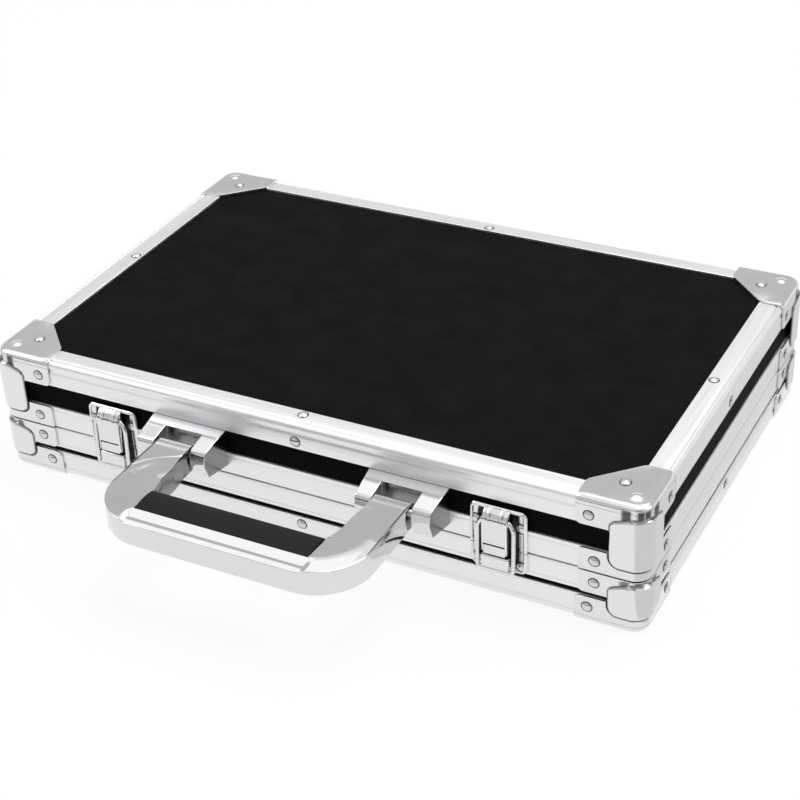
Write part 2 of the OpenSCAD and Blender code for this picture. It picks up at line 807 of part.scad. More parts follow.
// One arm, from its knuckle to the front corner, widening inwards where it meets the grip
module handle_arm(side) {
  arm_in = bracket_x - arm_w / 2;
  mirror([side < 0 ? 1 : 0, 0, 0]) {
    translate([handle_corner_x, handle_corner_y, 0]) rotate([0, 0, -90])
      rotate_extrude(angle = 90) handle_edge(handle_corner_r);
    translate([handle_corner_x, handle_corner_y, 0]) rotate([90, 0, 0]) mirror([0, 0, 1])
      linear_extrude(-handle_axis_out - handle_corner_y) intersection() {
        handle_edge(handle_corner_r);
        translate([arm_in - handle_corner_x, handle_low - over]) square([arm_w + over, handle_h + 2 * over]);
      }
    translate([arm_in, -handle_axis_out, 0]) rotate([0, 90, 0]) cylinder(r = arm_r, h = arm_w);
    translate([0, 0, handle_low]) linear_extrude(handle_h)
      polygon([[arm_in - arm_flare, handle_corner_y], [arm_in + over, handle_corner_y],
               [arm_in + over, pad_back + flare_d], [arm_in, pad_back + flare_d],
               [arm_in - arm_flare, pad_back]]);
  }
}

module handle_frame() {
  color(c_steel) on_front(0, handle_axis_z) difference() {
    union() {
      for (side = [-1, 1]) handle_arm(side);
      translate([0, handle_corner_y, 0]) along_x(2 * handle_corner_x)
        mirror([1, 0]) handle_edge(handle_corner_r);
      translate([-handle_corner_x, handle_corner_y - fuse, handle_low])
        cube([2 * handle_corner_x, grip_d - handle_corner_r + fuse, handle_h]);
    }
    translate([-pad_w / 2, pad_back - pad_d, handle_top - pad_t]) cube([pad_w, pad_d + over, pad_t + over]);
    translate([-pad_w / 2, bead_y, handle_top - bead_depth]) cube([pad_w, bead_w, bead_depth + over]);
    for (side = [-1, 1]) translate([side * bracket_x, -handle_axis_out, 0]) {
      rotate([0, 90, 0]) cylinder(r = handle_pin_r + pin_gap, h = arm_w + 2 * over, center = true);
      arm_heel_cut();
    }
  }
}

// Keeps the arm's heel round, so that it turns inside the bracket
module arm_heel_cut() {
  along_x(arm_w + 2 * over) difference() {
    translate([0, handle_low - over]) square([arm_r + over, handle_h + 2 * over]);
    circle(arm_r);
  }
}

module handle_pad() {
  r = handle_edge_r;
  color(c_rubber) on_front(0, handle_axis_z) translate([0, pad_back, 0]) along_x(pad_w) {
    translate([-pad_d, handle_top - pad_t]) square([pad_d, pad_t - r]);
    translate([-pad_d, handle_top - r]) square([pad_d - r, r]);
    translate([-r, handle_top - r]) circle(r);
  }
}

// ---- latches ----

// A plate's outline, rounded at its two outer corners
module plate_outline(h, r) {
  translate([-latch_w / 2, 0]) square([latch_w, h - r]);
  translate([-latch_w / 2 + r, 0]) square([latch_w - 2 * r, h]);
  for (s = [-1, 1]) translate([s * (latch_w / 2 - r), h - r]) circle(r);
}

module latch_plate(side) {
  block_w = lever_w - 2 * lever_t - 2 * lever_side_gap;
  color(c_steel) difference() {
    union() {
      on_front(side * latch_x, lid_low_z) along_y(-latch_t, 0) plate_outline(latch_plate_h, plate_r);
      on_front(side * latch_x, parting_z) along_x(block_w) {
        translate(lever_axis) circle(lever_knuckle_r);
        translate([lever_axis[0], lever_axis[1] - 0.6]) square([-lever_axis[0] - fuse, lever_knuckle_r]);
      }
    }
    on_front(side * latch_x, parting_z) lever_axis_line()
      cylinder(r = lever_pin_r + shank_gap / 2, h = lever_w + 2 * over, center = true);
    lid_holes();
  }
}

// Lays its children's z axis along the lever's axis
module lever_axis_line() {
  translate([0, lever_axis[0], lever_axis[1]]) rotate([0, 90, 0]) children();
}

// Lays its children's z axis along the bail's axis
module bail_axis_line() {
  translate([0, bail_axis[0], bail_axis[1]]) rotate([0, 90, 0]) children();
}

module keeper(side) {
  color(c_steel) difference() {
    union() {
      on_front(side * latch_x, base_high_z) mirror([0, 0, 1])
        along_y(-latch_t, 0) plate_outline(rim_h, plate_r);
      on_front(side * latch_x, parting_z) along_x(keeper_lip_w) {
        translate([keeper_front, keeper_low]) square([keeper_lip_t, keeper_top - keeper_low]);
        translate([keeper_front, keeper_top - keeper_lip_t]) square([-keeper_front - fuse, keeper_lip_t]);
      }
    }
    base_holes();
  }
}

// The lever from its side, grown inwards by skin: straight up from the axis, then rounded back to the plate
module lever_side(skin) {
  translate(lever_axis) circle(lever_end_r - skin);
  translate([lever_face + skin, lever_axis[1]])
    square([lever_back - lever_face - 2 * skin, lever_arc_z - lever_axis[1]]);
  intersection() {
    translate([lever_face + lever_arc_r, lever_arc_z]) circle(lever_arc_r - skin);
    translate([lever_face, lever_arc_z - fuse]) square([lever_back - lever_face - skin, lever_arc_r]);
  }
}

module latch_lever(side) {
  color(c_steel) on_front(side * latch_x, parting_z) difference() {
    along_x(lever_w) lever_side(0);
    along_x(lever_w - 2 * lever_t) {
      lever_side(lever_t);
      translate([lever_back - 2 * lever_t, lever_axis[1]]) square([3 * lever_t, lever_arc_z + lever_arc_r]);
      translate([lever_face - over, -lever_knuckle_r])
        square([-lever_face + over, lever_knuckle_r + lever_open_z]);
    }
    lever_axis_line() cylinder(r = lever_pin_r + pin_gap, h = lever_w + 2 * over, center = true);
    bail_axis_line() cylinder(r = wire_r + pin_gap, h = lever_w + 2 * over, center = true);
  }
}

// The wire bail: ends in the lever's cheeks, bars down both sides, and the bar across at the bottom
module latch_bail(side) {
  drop = [bail_bar[0] - bail_axis[0], bail_bar[1] - bail_axis[1]];
  reach = norm(drop);
  tilt = atan2(-drop[0], -drop[1]);
  color(c_steel) on_front(side * latch_x, parting_z)
    translate([0, bail_axis[0], bail_axis[1]]) rotate([-tilt, 0, 0]) {
      for (s = [-1, 1]) {
        translate([s * bail_x, 0, 0]) sphere(wire_r);
        translate([s * bail_x, 0, -reach]) cylinder(r = wire_r, h = reach);
        translate([s * bail_x, 0, -reach]) sphere(wire_r);
        translate([s * bail_x, 0, 0]) rotate([0, -90 * s, 0])
          cylinder(r = wire_r, h = bail_x - lever_w / 2 + lever_t);
      }
      translate([-bail_x, 0, -reach]) rotate([0, 90, 0]) cylinder(r = wire_r, h = 2 * bail_x);
    }
}

module latch_pins() {
  color(c_steel) for (side = [-1, 1]) on_front(side * latch_x, parting_z)
    lever_axis_line() cylinder(r = lever_pin_r, h = lever_w, center = true);
}

module latch_plate_left() { latch_plate(-1); }
module latch_plate_right() { latch_plate(1); }
module keeper_left() { keeper(-1); }
module keeper_right() { keeper(1); }
module latch_lever_left() { latch_lever(-1); }
module latch_lever_right() { latch_lever(1); }
module latch_bail_left() { latch_bail(-1); }
module latch_bail_right() { latch_bail(1); }

// ---- hinges ----

// Puts a hinge's children at its axis
module at_hinge(side) {
  translate([side * hinge_x, case_y + case_d / 2 + hinge_out, parting_z]) children();
}

// One leaf, upwards from the axis; its own knuckles lie where mine is true
module leaf(mine) {
  clear = knuckle_r + hinge_gap;
  low = sqrt(clear * clear - pow(hinge_out - leaf_t, 2));
  for (k = [-1, 0, 1]) if ((k == 0) == mine) translate([k * knuckle_len, 0, 0]) {
    along_x(knuckle_len - knuckle_play) {
      circle(knuckle_r);
      translate([-hinge_out, parting_gap]) square([hinge_out - over, low]);
    }
  }
  translate([-hinge_w / 2, -hinge_out, low]) cube([hinge_w, leaf_t, rim_h - low]);
}

module hinge_lid_leaves() {
  color(c_steel) difference() {
    for (side = [-1, 1]) at_hinge(side) leaf(true);
    for (side = [-1, 1]) at_hinge(side) rotate([0, 90, 0])
      cylinder(r = hinge_pin_r + pin_gap, h = hinge_w + 2 * over, center = true);
    lid_holes();
  }
}

module hinge_base_leaves() {
  color(c_steel) difference() {
    for (side = [-1, 1]) at_hinge(side) mirror([0, 0, 1]) leaf(false);
    for (side = [-1, 1]) at_hinge(side) rotate([0, 90, 0])
      cylinder(r = hinge_pin_r + shank_gap / 2, h = hinge_w + 2 * over, center = true);
    base_holes();
  }
}

module hinge_pins() {
  color(c_steel) for (side = [-1, 1]) at_hinge(side) rotate([0, 90, 0])
    cylinder(r = hinge_pin_r, h = hinge_w, center = true);
}

lid_panel();
lid_walls();
lid_edge_front();
lid_edge_right();
lid_edge_back();
lid_edge_left();
lid_rim_front();
lid_rim_right();
lid_rim_back();
lid_rim_left();
lid_cap_front_left();
lid_cap_front_right();
lid_cap_back_right();
lid_cap_back_left();
lid_wrap_front_left();
lid_wrap_front_right();
lid_wrap_back_right();
lid_wrap_back_left();
lid_rivets();
lid_foam();
base_panel();
base_walls();
base_edge_front();
base_edge_right();
base_edge_back();
base_edge_left();
base_rim_front();
base_rim_right();
base_rim_back();
base_rim_left();
base_cap_front_left();
base_cap_front_right();
base_cap_back_right();
base_cap_back_left();
base_wrap_front_left();
base_wrap_front_right();
base_wrap_back_right();
base_wrap_back_left();
base_rivets();
base_foam();
bracket_left();
bracket_right();
bracket_screws();
handle_frame();
handle_pad();
handle_pins();
latch_plate_left();
latch_plate_right();
keeper_left();
keeper_right();
latch_lever_left();
latch_lever_right();
latch_bail_left();
latch_bail_right();
latch_pins();
hinge_lid_leaves();
hinge_base_leaves();
hinge_pins();
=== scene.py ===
# %% [markdown]
# # A miniature carry case
# The case is black board in satin aluminium rails, with pressed bright corners, domed rivets, two draw latches
# and a handle that folds. The solids come from CAD and stay where they are. This script dresses them: it gives
# every rail, corner, latch and board its true surface, and builds in finer form the pieces where light counts.
# The frame is loaded first, because every piece takes its place from it.

# %% Load the frame
import bpy
import bmesh
import math
from mathutils import Matrix, Vector
from mathutils.bvhtree import BVHTree
from mathutils.kdtree import KDTree


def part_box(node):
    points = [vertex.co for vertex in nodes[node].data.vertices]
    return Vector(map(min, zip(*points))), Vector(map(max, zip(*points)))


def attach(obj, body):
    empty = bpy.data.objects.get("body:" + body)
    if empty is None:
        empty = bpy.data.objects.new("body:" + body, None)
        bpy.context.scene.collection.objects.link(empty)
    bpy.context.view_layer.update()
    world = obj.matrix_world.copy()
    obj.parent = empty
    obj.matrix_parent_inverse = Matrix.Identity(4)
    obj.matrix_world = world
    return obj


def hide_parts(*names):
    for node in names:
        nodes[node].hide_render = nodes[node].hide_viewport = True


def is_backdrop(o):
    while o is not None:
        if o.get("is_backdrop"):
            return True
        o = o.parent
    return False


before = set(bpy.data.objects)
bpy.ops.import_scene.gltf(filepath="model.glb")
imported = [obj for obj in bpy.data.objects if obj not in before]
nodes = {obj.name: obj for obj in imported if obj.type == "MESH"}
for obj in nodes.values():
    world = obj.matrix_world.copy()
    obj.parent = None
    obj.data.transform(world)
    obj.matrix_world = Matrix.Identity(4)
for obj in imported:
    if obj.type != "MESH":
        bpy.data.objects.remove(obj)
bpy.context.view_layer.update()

MM = 0.001

# %% [markdown]
# Most places follow from a few boxes of the CAD. The front face of the case, the parting line between lid and
# base and the two ends of the edging are named here once, and every later step counts from them.

# %% Where things are
rail_low, rail_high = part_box("lid_edge_front")
rim_low, rim_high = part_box("lid_rim_front")
base_rim_low, base_rim_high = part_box("base_rim_front")
base_rail_low, base_rail_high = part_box("base_edge_front")

HALF_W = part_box("lid_edge_right")[1].x
FRONT_Y = rail_low.y
BACK_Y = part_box("lid_edge_back")[1].y
MID_Y = (FRONT_Y + BACK_Y) / 2
HALF_D = (BACK_Y - FRONT_Y) / 2
TOP_Z = rail_high.z
FLOOR_Z = base_rail_low.z
SIDES = ((-1, "left"), (1, "right"))
print("half width, half depth and top in mm:", [round(v / MM, 2) for v in (HALF_W, HALF_D, TOP_Z)])

# %% [markdown]
# Shaders and geometry trees are built from nodes, and each node needs the same three steps: add it, set it, and
# feed its inputs. `make` does all three, and `calc` is the short form for a sum. `mesh_of` ends the work on a mesh.

# %% Helpers for nodes and meshes


def make(n, l, kind, feeds=None, **settings):
    """A new node with its settings. Each feed links a socket to the input of that name, or sets its value."""
    node = n.new(kind)
    for key, value in settings.items():
        setattr(node, key, value)
    for key, value in (feeds or {}).items():
        if isinstance(value, bpy.types.NodeSocket):
            l.new(value, node.inputs[key])
        else:
            node.inputs[key].default_value = value
    return node


def calc(n, l, operation, *values):
    """The result of a math node fed with sockets or numbers."""
    return make(n, l, "ShaderNodeMath", dict(enumerate(values)), operation=operation).outputs[0]


def mesh_of(work, name, outward=True):
    """The mesh of a finished bmesh, with its normals turned outwards."""
    if outward:
        bmesh.ops.recalc_face_normals(work, faces=work.faces)
    mesh = bpy.data.meshes.new(name)
    work.to_mesh(mesh)
    work.free()
    return mesh


def turn_outward(mesh, merge=0.0):
    """Turns a mesh's normals outwards, after merging points closer than merge."""
    work = bmesh.new()
    work.from_mesh(mesh)
    if merge:
        bmesh.ops.remove_doubles(work, verts=work.verts, dist=merge)
    bmesh.ops.recalc_face_normals(work, faces=work.faces)
    work.to_mesh(mesh)
    work.free()
    return mesh


def put_in_scene(name, data):
    """An object of some data, linked to the scene."""
    obj = bpy.data.objects.new(name, data)
    bpy.context.scene.collection.objects.link(obj)
    return obj


print("helpers ready")

# %% [markdown]
# ## Camera
# The photograph was taken from the front right corner's side, from above, with a long lens. The camera looks at
# a point near the middle of the lid, from an azimuth, an elevation and a distance, with a small roll. No shift
# is needed, because the picture's middle is where the camera points.

# %% Set the camera
AZIMUTH = math.radians(28.45)
ELEVATION = math.radians(32.16)
ROLL = math.radians(-2.72)
DISTANCE = 0.8566
AIM = Vector((0.0227, -0.0156, 0.0500))
LENS = 80.54
SENSOR = 36.0

camera_data = bpy.data.cameras.new("camera")
camera_data.lens = LENS
camera_data.sensor_width = SENSOR
camera_data.sensor_fit = "AUTO"
camera = put_in_scene("camera", camera_data)


def way_to(azimuth, elevation):
    """The direction of a place round the case: azimuth from the front, elevation from the floor, in radians."""
    flat = math.cos(elevation)
    return Vector((math.sin(azimuth) * flat, -math.cos(azimuth) * flat, math.sin(elevation)))


outward = way_to(AZIMUTH, ELEVATION)
camera.location = AIM + outward * DISTANCE
turn = outward.to_track_quat("Z", "Y") @ Matrix.Rotation(ROLL, 4, "Z").to_quaternion()
camera.rotation_euler = turn.to_euler()
bpy.context.scene.camera = camera
bpy.context.view_layer.update()
print("camera at", [round(v, 4) for v in camera.location])

# %% [markdown]
# A few points of the photograph settle that camera. `seen_at` says where a point of
# the model lands in the picture, and `onto` goes the other way: it follows the ray through a point of the
# picture until it meets the surface that carries a piece.

# %% Points of the photograph
W, H = 800, 800
IMAGE_POINTS = {
    "left_x": 1.9,
    "right_x": 799.3,
    "top_y": 172.1,
    "bottom_y": 628.7,
    "front_top_rivet": (303.3, 414.2),
    "left_top_rivet": (135.3, 254.3),
    "back_top_rivet": (489.8, 225.7),
    "right_top_rivet": (713.3, 379.9),
    "base_front_rivet": (301.4, 524.1),
    "front_left_cap_rivet": (40.5, 338.5),
    "front_right_cap_rivet": (625.0, 483.6),
    "back_right_cap_rivet": (761.9, 283.4),
    "back_left_cap_rivet": (239.9, 184.9),
    "right_latch_upper_rivet": (519.5, 529.1),
    "lever_rib_left": (484.3, 520.5),
    "lever_rib_right": (496.7, 524.3),
    "left_notch": (184.0, 428.0),
    "right_notch": (404.2, 486.6),
    "grip_front_left": (134.4, 508.4),
    "grip_front_right": (304.8, 556.4),
}
PIXELS = max(W, H) * LENS / SENSOR


def seen_at(point):
    """Where a point of the model lands in the photograph's frame."""
    local = camera.matrix_world.inverted() @ Vector(point)
    scale = PIXELS / -local.z
    return W / 2 + local.x * scale, H / 2 - local.y * scale


def onto(image_point, tree):
    """The place on a surface that shows at a point of the photograph, or the nearest to its ray."""
    x, y = image_point
    ray = Vector((x - W / 2, H / 2 - y, -PIXELS))
    origin = camera.matrix_world.translation
    direction = (camera.matrix_world.to_quaternion() @ ray).normalized()
    hit = tree.ray_cast(origin, direction)
    if hit[0] is not None:
        return hit[0]
    steps = [origin + direction * (DISTANCE * (0.5 + 0.01 * k)) for k in range(101)]
    return min((tree.find_nearest(p) for p in steps), key=lambda found: found[3])[0]


print("the point aimed at shows at", [round(v, 1) for v in seen_at(AIM)])

# %% [markdown]
# ## Light
# A product studio is a white room with large soft lamps. Bright metal shows that room more than its own colour,
# so the room matters. The world is white to the camera and to reflections, and a plain grey level to everything
# else. The floor is white the same way and still takes the case's shadow.

# %% World and floor
scene = bpy.context.scene
scene.view_settings.view_transform = "Standard"
world = bpy.data.worlds.new("studio")
scene.world = world
world.use_nodes = True
WHITE = (1, 1, 1, 1)


def sees_white(n, l):
    """1 for rays from the camera, off gloss or through glass, and 0 for the light that falls on the object."""
    path = n.new("ShaderNodeLightPath").outputs
    seen = calc(n, l, "MAXIMUM", path["Is Camera Ray"], path["Is Glossy Ray"])
    return calc(n, l, "MAXIMUM", seen, path["Is Transmission Ray"])


def bare_tree(tree):
    """A node tree's nodes and links, with the nodes cleared."""
    tree.nodes.clear()
    return tree.nodes, tree.links


FILL = 0.62
n, l = bare_tree(world.node_tree)
fill = make(n, l, "ShaderNodeBackground", {"Color": WHITE, "Strength": FILL})
white = make(n, l, "ShaderNodeBackground", {"Color": WHITE, "Strength": 1.0})
choice = make(n, l, "ShaderNodeMixShader", {0: sees_white(n, l), 1: fill.outputs[0], 2: white.outputs[0]})
make(n, l, "ShaderNodeOutputWorld", {0: choice.outputs[0]})

FLOOR_REACH, SHADOW_SHARE = 6.0, 0.10
floor_mesh = bpy.data.meshes.new("floor")
floor_mesh.from_pydata([(x * FLOOR_REACH, y * FLOOR_REACH, -0.0002) for x, y in ((-1, -1), (1, -1), (1, 1), (-1, 1))],
                       [], [(0, 1, 2, 3)])
floor = put_in_scene("floor", floor_mesh)
floor_material = bpy.data.materials.new("floor_paper")
floor_material.use_nodes = True
n, l = bare_tree(floor_material.node_tree)
paper = make(n, l, "ShaderNodeBsdfDiffuse", {"Color": (0.86, 0.86, 0.86, 1)})
glow = make(n, l, "ShaderNodeEmission", {"Color": WHITE, "Strength": 1.0})
share = calc(n, l, "MULTIPLY", sees_white(n, l), 1 - SHADOW_SHARE)
lit = make(n, l, "ShaderNodeMixShader", {0: share, 1: paper.outputs[0], 2: glow.outputs[0]})
make(n, l, "ShaderNodeOutputMaterial", {0: lit.outputs[0]})
floor_mesh.materials.append(floor_material)
floor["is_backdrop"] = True
print("floor reaches", FLOOR_REACH, "m each way, fill light", FILL)

# %% [markdown]
# In a room that is white all round, plated steel looks like white paper. Photographers hang grey and black
# cards out of view, and the metal draws its bands from them. Here a grey ring stands round the case, with a
# darker board on the camera's side and a bright strip behind. A dark band closes the table's edge, and a grey
# card lies beside the case. The camera never sees them: only reflections do.

# %% Cards for the metal to reflect


def hang(name, verts, faces, strength):
    """A glowing card that only reflections see."""
    mesh = bpy.data.meshes.new(name)
    mesh.from_pydata(verts, [], faces)
    material = bpy.data.materials.new(name)
    material.use_nodes = True
    n, l = bare_tree(material.node_tree)
    emission = make(n, l, "ShaderNodeEmission", {"Color": WHITE, "Strength": strength})
    make(n, l, "ShaderNodeOutputMaterial", {0: emission.outputs[0]})
    mesh.materials.append(material)
    obj = put_in_scene(name, mesh)
    obj.visible_camera = obj.visible_diffuse = obj.visible_shadow = obj.visible_transmission = False
    obj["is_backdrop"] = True


def card(name, distance, azimuth_from, azimuth_to, low, high, strength, steps=24):
    """A curved card round the case, between two azimuths and two elevations, in degrees."""
    verts = [way_to(math.radians(azimuth_from + (azimuth_to - azimuth_from) * k / steps), math.radians(elevation))
             * distance for k in range(steps + 1) for elevation in (low, high)]
    hang(name, verts, [(2 * k, 2 * k + 1, 2 * k + 3, 2 * k + 2) for k in range(steps)], strength)


def table_card(name, low, high, strength):
    """A flat card just over the table."""
    (x0, y0), (x1, y1) = low, high
    hang(name, [(x, y, 0.0003) for x, y in ((x0, y0), (x1, y0), (x1, y1), (x0, y1))], [(0, 1, 2, 3)], strength)


card("grey_ring", 3.0, -180, 180, 14, 46, 0.62, steps=72)
card("camera_board", 2.6, 8, 52, 22, 44, 0.12)
card("bright_strip", 2.5, -165, -95, 50, 68, 1.3)
card("table_end", 1.3, -55, 120, 0, 9, 0.04, steps=48)
table_card("right_of_case", (0.176, -0.30), (0.90, 0.60), 0.76)
print("cards hung")

# %% [markdown]
# Three soft lamps model the form: a large one overhead and two from the sides. They are large and even, so that
# the rivets get one soft highlight each and the black board stays black.

# %% Lamps


def softbox(name, azimuth, elevation, distance, size, power):
    lamp = bpy.data.lights.new(name, "AREA")
    lamp.shape, lamp.size, lamp.energy = "DISK", size, power
    obj = put_in_scene(name, lamp)
    toward = way_to(math.radians(azimuth), math.radians(elevation))
    obj.location = toward * distance
    obj.rotation_euler = toward.to_track_quat("Z", "Y").to_euler()


softbox("top_lamp", 150, 74, 1.6, 1.1, 13)
softbox("left_lamp", -70, 42, 1.8, 0.9, 7)
softbox("right_lamp", 100, 38, 1.8, 0.9, 7)
print("lamps set")

# %% [markdown]
# ## Finishes
# Each finish is a small node tree on a Principled shader. The pattern always follows Object coordinates, so it
# stays with the piece when the lid opens. One helper starts a finish, and the next ones lay grain and bumps in it.

# %% Helpers for finishes


def start_finish(name, color, metallic, roughness, **more):
    """A material with its Principled shader, and the nodes and links to add to."""
    material = bpy.data.materials.new(name)
    material.use_nodes = True
    n, l = material.node_tree.nodes, material.node_tree.links
    shader = n["Principled BSDF"]
    values = {"Base Color": (*color, 1), "Metallic": metallic, "Roughness": roughness}
    for label, value in {**values, **more}.items():
        shader.inputs[label.replace("_", " ")].default_value = value
    return material, n, l, shader.inputs


def object_place(n, l):
    return n.new("ShaderNodeTexCoord").outputs["Object"]


def noise(n, l, stretch, scale, detail=2.0):
    """Noise on Object coordinates, stretched by three factors: small factors draw long streaks."""
    mapping = make(n, l, "ShaderNodeMapping", {"Scale": stretch, "Vector": object_place(n, l)})
    return make(n, l, "ShaderNodeTexNoise", {"Scale": scale, "Detail": detail,
                                             "Vector": mapping.outputs[0]}).outputs["Fac"]


def between(n, l, value, low, high, from_low=0.3, from_high=0.7):
    """A value turned into one between low and high."""
    return make(n, l, "ShaderNodeMapRange", {"From Min": from_low, "From Max": from_high, "To Min": low,
                                             "To Max": high, "Value": value}).outputs["Result"]


def tint(n, l, value, dark, light):
    """A colour between dark and light, by a value from 0 to 1."""
    feeds = {"A": (*dark, 1), "B": (*light, 1), "Factor": value}
    return make(n, l, "ShaderNodeMix", feeds, data_type="RGBA").outputs["Result"]


def raise_surface(n, l, shader, height, strength, distance):
    """Bumps on the shader's normal from a height value."""
    bump = make(n, l, "ShaderNodeBump", {"Strength": strength, "Distance": distance, "Height": height})
    l.new(bump.outputs["Normal"], shader["Normal"])


print("finish helpers ready")

# %% [markdown]
# The rails are extruded aluminium with a satin finish: the die leaves long faint lines along them, and the acid
# bath softens the gloss. A noise stretched along the rail gives both, once for the rails along the front and
# back and once for those along the sides.

# %% Satin aluminium


def satin_aluminium(name, stretch):
    material, n, l, shader = start_finish(name, (0.80, 0.81, 0.82), 1.0, 0.28)
    lines = noise(n, l, stretch, 60.0, 3.0)
    l.new(between(n, l, lines, 0.36, 0.45), shader["Roughness"])
    l.new(tint(n, l, between(n, l, lines, 0.0, 1.0), (0.83, 0.835, 0.84), (0.86, 0.865, 0.87)), shader["Base Color"])
    raise_surface(n, l, shader, lines, 0.012, 0.0002)
    return material


rail_x = satin_aluminium("satin_aluminium_x", (0.25, 14.0, 14.0))
rail_y = satin_aluminium("satin_aluminium_y", (14.0, 0.25, 14.0))
print("satin aluminium for", rail_x.name, "and", rail_y.name)

# %% [markdown]
# Corners, rivets, latches and handle are pressed or cast steel with bright plate. The plate is smooth but not a
# mirror: it has a faint haze, a little uneven, with small dents' worth of waviness from the press. The corners
# are hazier than the polished handle and latches.

# %% Bright plate


def paint_shade_over(n, l, shader, color):
    """Lays near-black painted shade over a colour where the attribute marks it: shadow lines and dark reflections."""
    mark = make(n, l, "ShaderNodeAttribute", attribute_name="gap")
    feeds = {"B": (0.035, 0.035, 0.036, 1), "A": color, "Factor": mark.outputs["Fac"]}
    whole = make(n, l, "ShaderNodeMix", feeds, data_type="RGBA")
    l.new(whole.outputs["Result"], shader["Base Color"])


def bright_plate(name, color, gloss, haze, wave, shade_painted=False):
    material, n, l, shader = start_finish(name, color, 1.0, gloss)
    cloud = noise(n, l, (1, 1, 1), 90.0, 3.0)
    l.new(between(n, l, cloud, gloss, haze), shader["Roughness"])
    shown = tint(n, l, between(n, l, cloud, 0.0, 1.0), [0.965 * c for c in color], color)
    # Painted shade from the attribute, where asked.
    if shade_painted:
        paint_shade_over(n, l, shader, shown)
    else:
        l.new(shown, shader["Base Color"])
    raise_surface(n, l, shader, noise(n, l, (1, 1, 1), 55.0, 1.0), wave, 0.0006)
    return material


def rivet_finish(name):
    """Dull plate on the head, and painted shade for the shadow in the ring the attribute marks round its foot."""
    material, n, l, shader = start_finish(name, (0.50, 0.50, 0.51), 1.0, 0.16)
    cloud = noise(n, l, (1, 1, 1), 300.0)
    paint_shade_over(n, l, shader, tint(n, l, cloud, (0.62, 0.62, 0.63), (0.72, 0.72, 0.73)))
    l.new(between(n, l, cloud, 0.14, 0.22), shader["Roughness"])
    return material


# The corners' plate takes painted shade where their attribute marks it.
corner_plate = bright_plate("corner_plate", (0.77, 0.775, 0.785), 0.14, 0.20, 0.06, shade_painted=True)
handle_plate = bright_plate("handle_plate", (0.72, 0.725, 0.735), 0.07, 0.10, 0.02)
latch_plate_finish = bright_plate("latch_plate", (0.76, 0.765, 0.775), 0.10, 0.16, 0.04)
wire_plate = bright_plate("wire_plate", (0.74, 0.745, 0.755), 0.12, 0.18, 0.0)
# A near-black copy of the latches' plate: painted shade on the sunk ground round the levers.
latch_shaded_ground = bright_plate("latch_shaded_ground", (0.035, 0.035, 0.036), 0.25, 0.35, 0.0)
# A grey copy of the handle's plate: painted shade and dark reflection for the handle's inner flanks and the brackets'
# sides.
shaded_flank_plate = bright_plate("shaded_flank_plate", (0.30, 0.30, 0.305), 0.16, 0.24, 0.0)
rivet_plate = rivet_finish("rivet_plate")
print("bright plate on corners, rivets, handle, latches and wire")

# %% [markdown]
# The panels are thin board under a black film that is embossed like a fine cloth: rows of short slanting beads.
# Two sines, one across the rows and one along them, multiply to beads, and a broad noise lets them come and go.
# The film is dull, so it stays black in a white room.

# %% Grained black panel


def wave_along(n, l, value, per_metre):
    """A sine from 0 to 1 along a coordinate."""
    phase = calc(n, l, "MULTIPLY", value, per_metre * 2 * math.pi)
    return between(n, l, calc(n, l, "SINE", phase), 0.0, 1.0, -1.0, 1.0)


def grained_film(name):
    material, n, l, shader = start_finish(name, (0.0080, 0.0080, 0.0083), 0.0, 0.62, Specular_IOR_Level=0.02)
    turned = make(n, l, "ShaderNodeMapping", {"Rotation": (0, 0, math.radians(-9)), "Vector": object_place(n, l)})
    axes = make(n, l, "ShaderNodeSeparateXYZ", {0: turned.outputs[0]}).outputs
    across, along = wave_along(n, l, axes["X"], 620), wave_along(n, l, axes["Y"], 300)
    beads = calc(n, l, "MULTIPLY", across, between(n, l, along, 0.45, 1.0, 0.0, 1.0))
    patches = noise(n, l, (1, 1, 1), 60.0)
    faint = calc(n, l, "MULTIPLY", beads, between(n, l, patches, 0.35, 1.0, 0.35, 0.65))
    l.new(tint(n, l, faint, (0.0042, 0.0042, 0.0044), (0.0105, 0.0105, 0.0109)), shader["Base Color"])
    l.new(between(n, l, patches, 0.66, 0.56), shader["Roughness"])
    raise_surface(n, l, shader, faint, 0.35, 0.0002)
    return material


panel_film = grained_film("grained_panel_film")
print("panel film made")

# %% [markdown]
# The boards at the sides wear a film with fine upright ribs, about one to the millimetre. Their pattern is a sine
# of x plus y: on a board that runs along x only x changes, and on one along y only y does, so a single
# finish fits all four.

# %% Ribbed black board


def ribbed_film(name, per_metre):
    material, n, l, shader = start_finish(name, (0.0060, 0.0060, 0.0062), 0.0, 0.55, Specular_IOR_Level=0.02)
    axes = make(n, l, "ShaderNodeSeparateXYZ", {0: object_place(n, l)}).outputs
    wave = wave_along(n, l, calc(n, l, "ADD", axes["X"], axes["Y"]), per_metre)
    fibre = noise(n, l, (1, 1, 0.12), 420.0)
    l.new(tint(n, l, wave, (0.0020, 0.0020, 0.0021), (0.0046, 0.0046, 0.0048)), shader["Base Color"])
    raise_surface(n, l, shader, calc(n, l, "MULTIPLY_ADD", fibre, 0.6, wave), 0.45, 0.0003)
    return material


board_film = ribbed_film("ribbed_board_film", 900)
print("board film made")

# %% [markdown]
# The grip is soft black rubber with a slight sheen and a trace of dust in it. The foam inside is open-cell
# foam in dark grey: thousands of pores, so it scatters light and never shines. Pins and screws are plain steel.

# %% Rubber, foam and pins


def grip_rubber(name):
    material, n, l, shader = start_finish(name, (0.0060, 0.0060, 0.0062), 0.0, 0.42, Specular_IOR_Level=0.12)
    skin = noise(n, l, (1, 1, 1), 700.0, 3.0)
    l.new(between(n, l, skin, 0.36, 0.50), shader["Roughness"])
    l.new(tint(n, l, skin, (0.0065, 0.0065, 0.0068), (0.0110, 0.0110, 0.0112)), shader["Base Color"])
    raise_surface(n, l, shader, skin, 0.10, 0.0001)
    return material


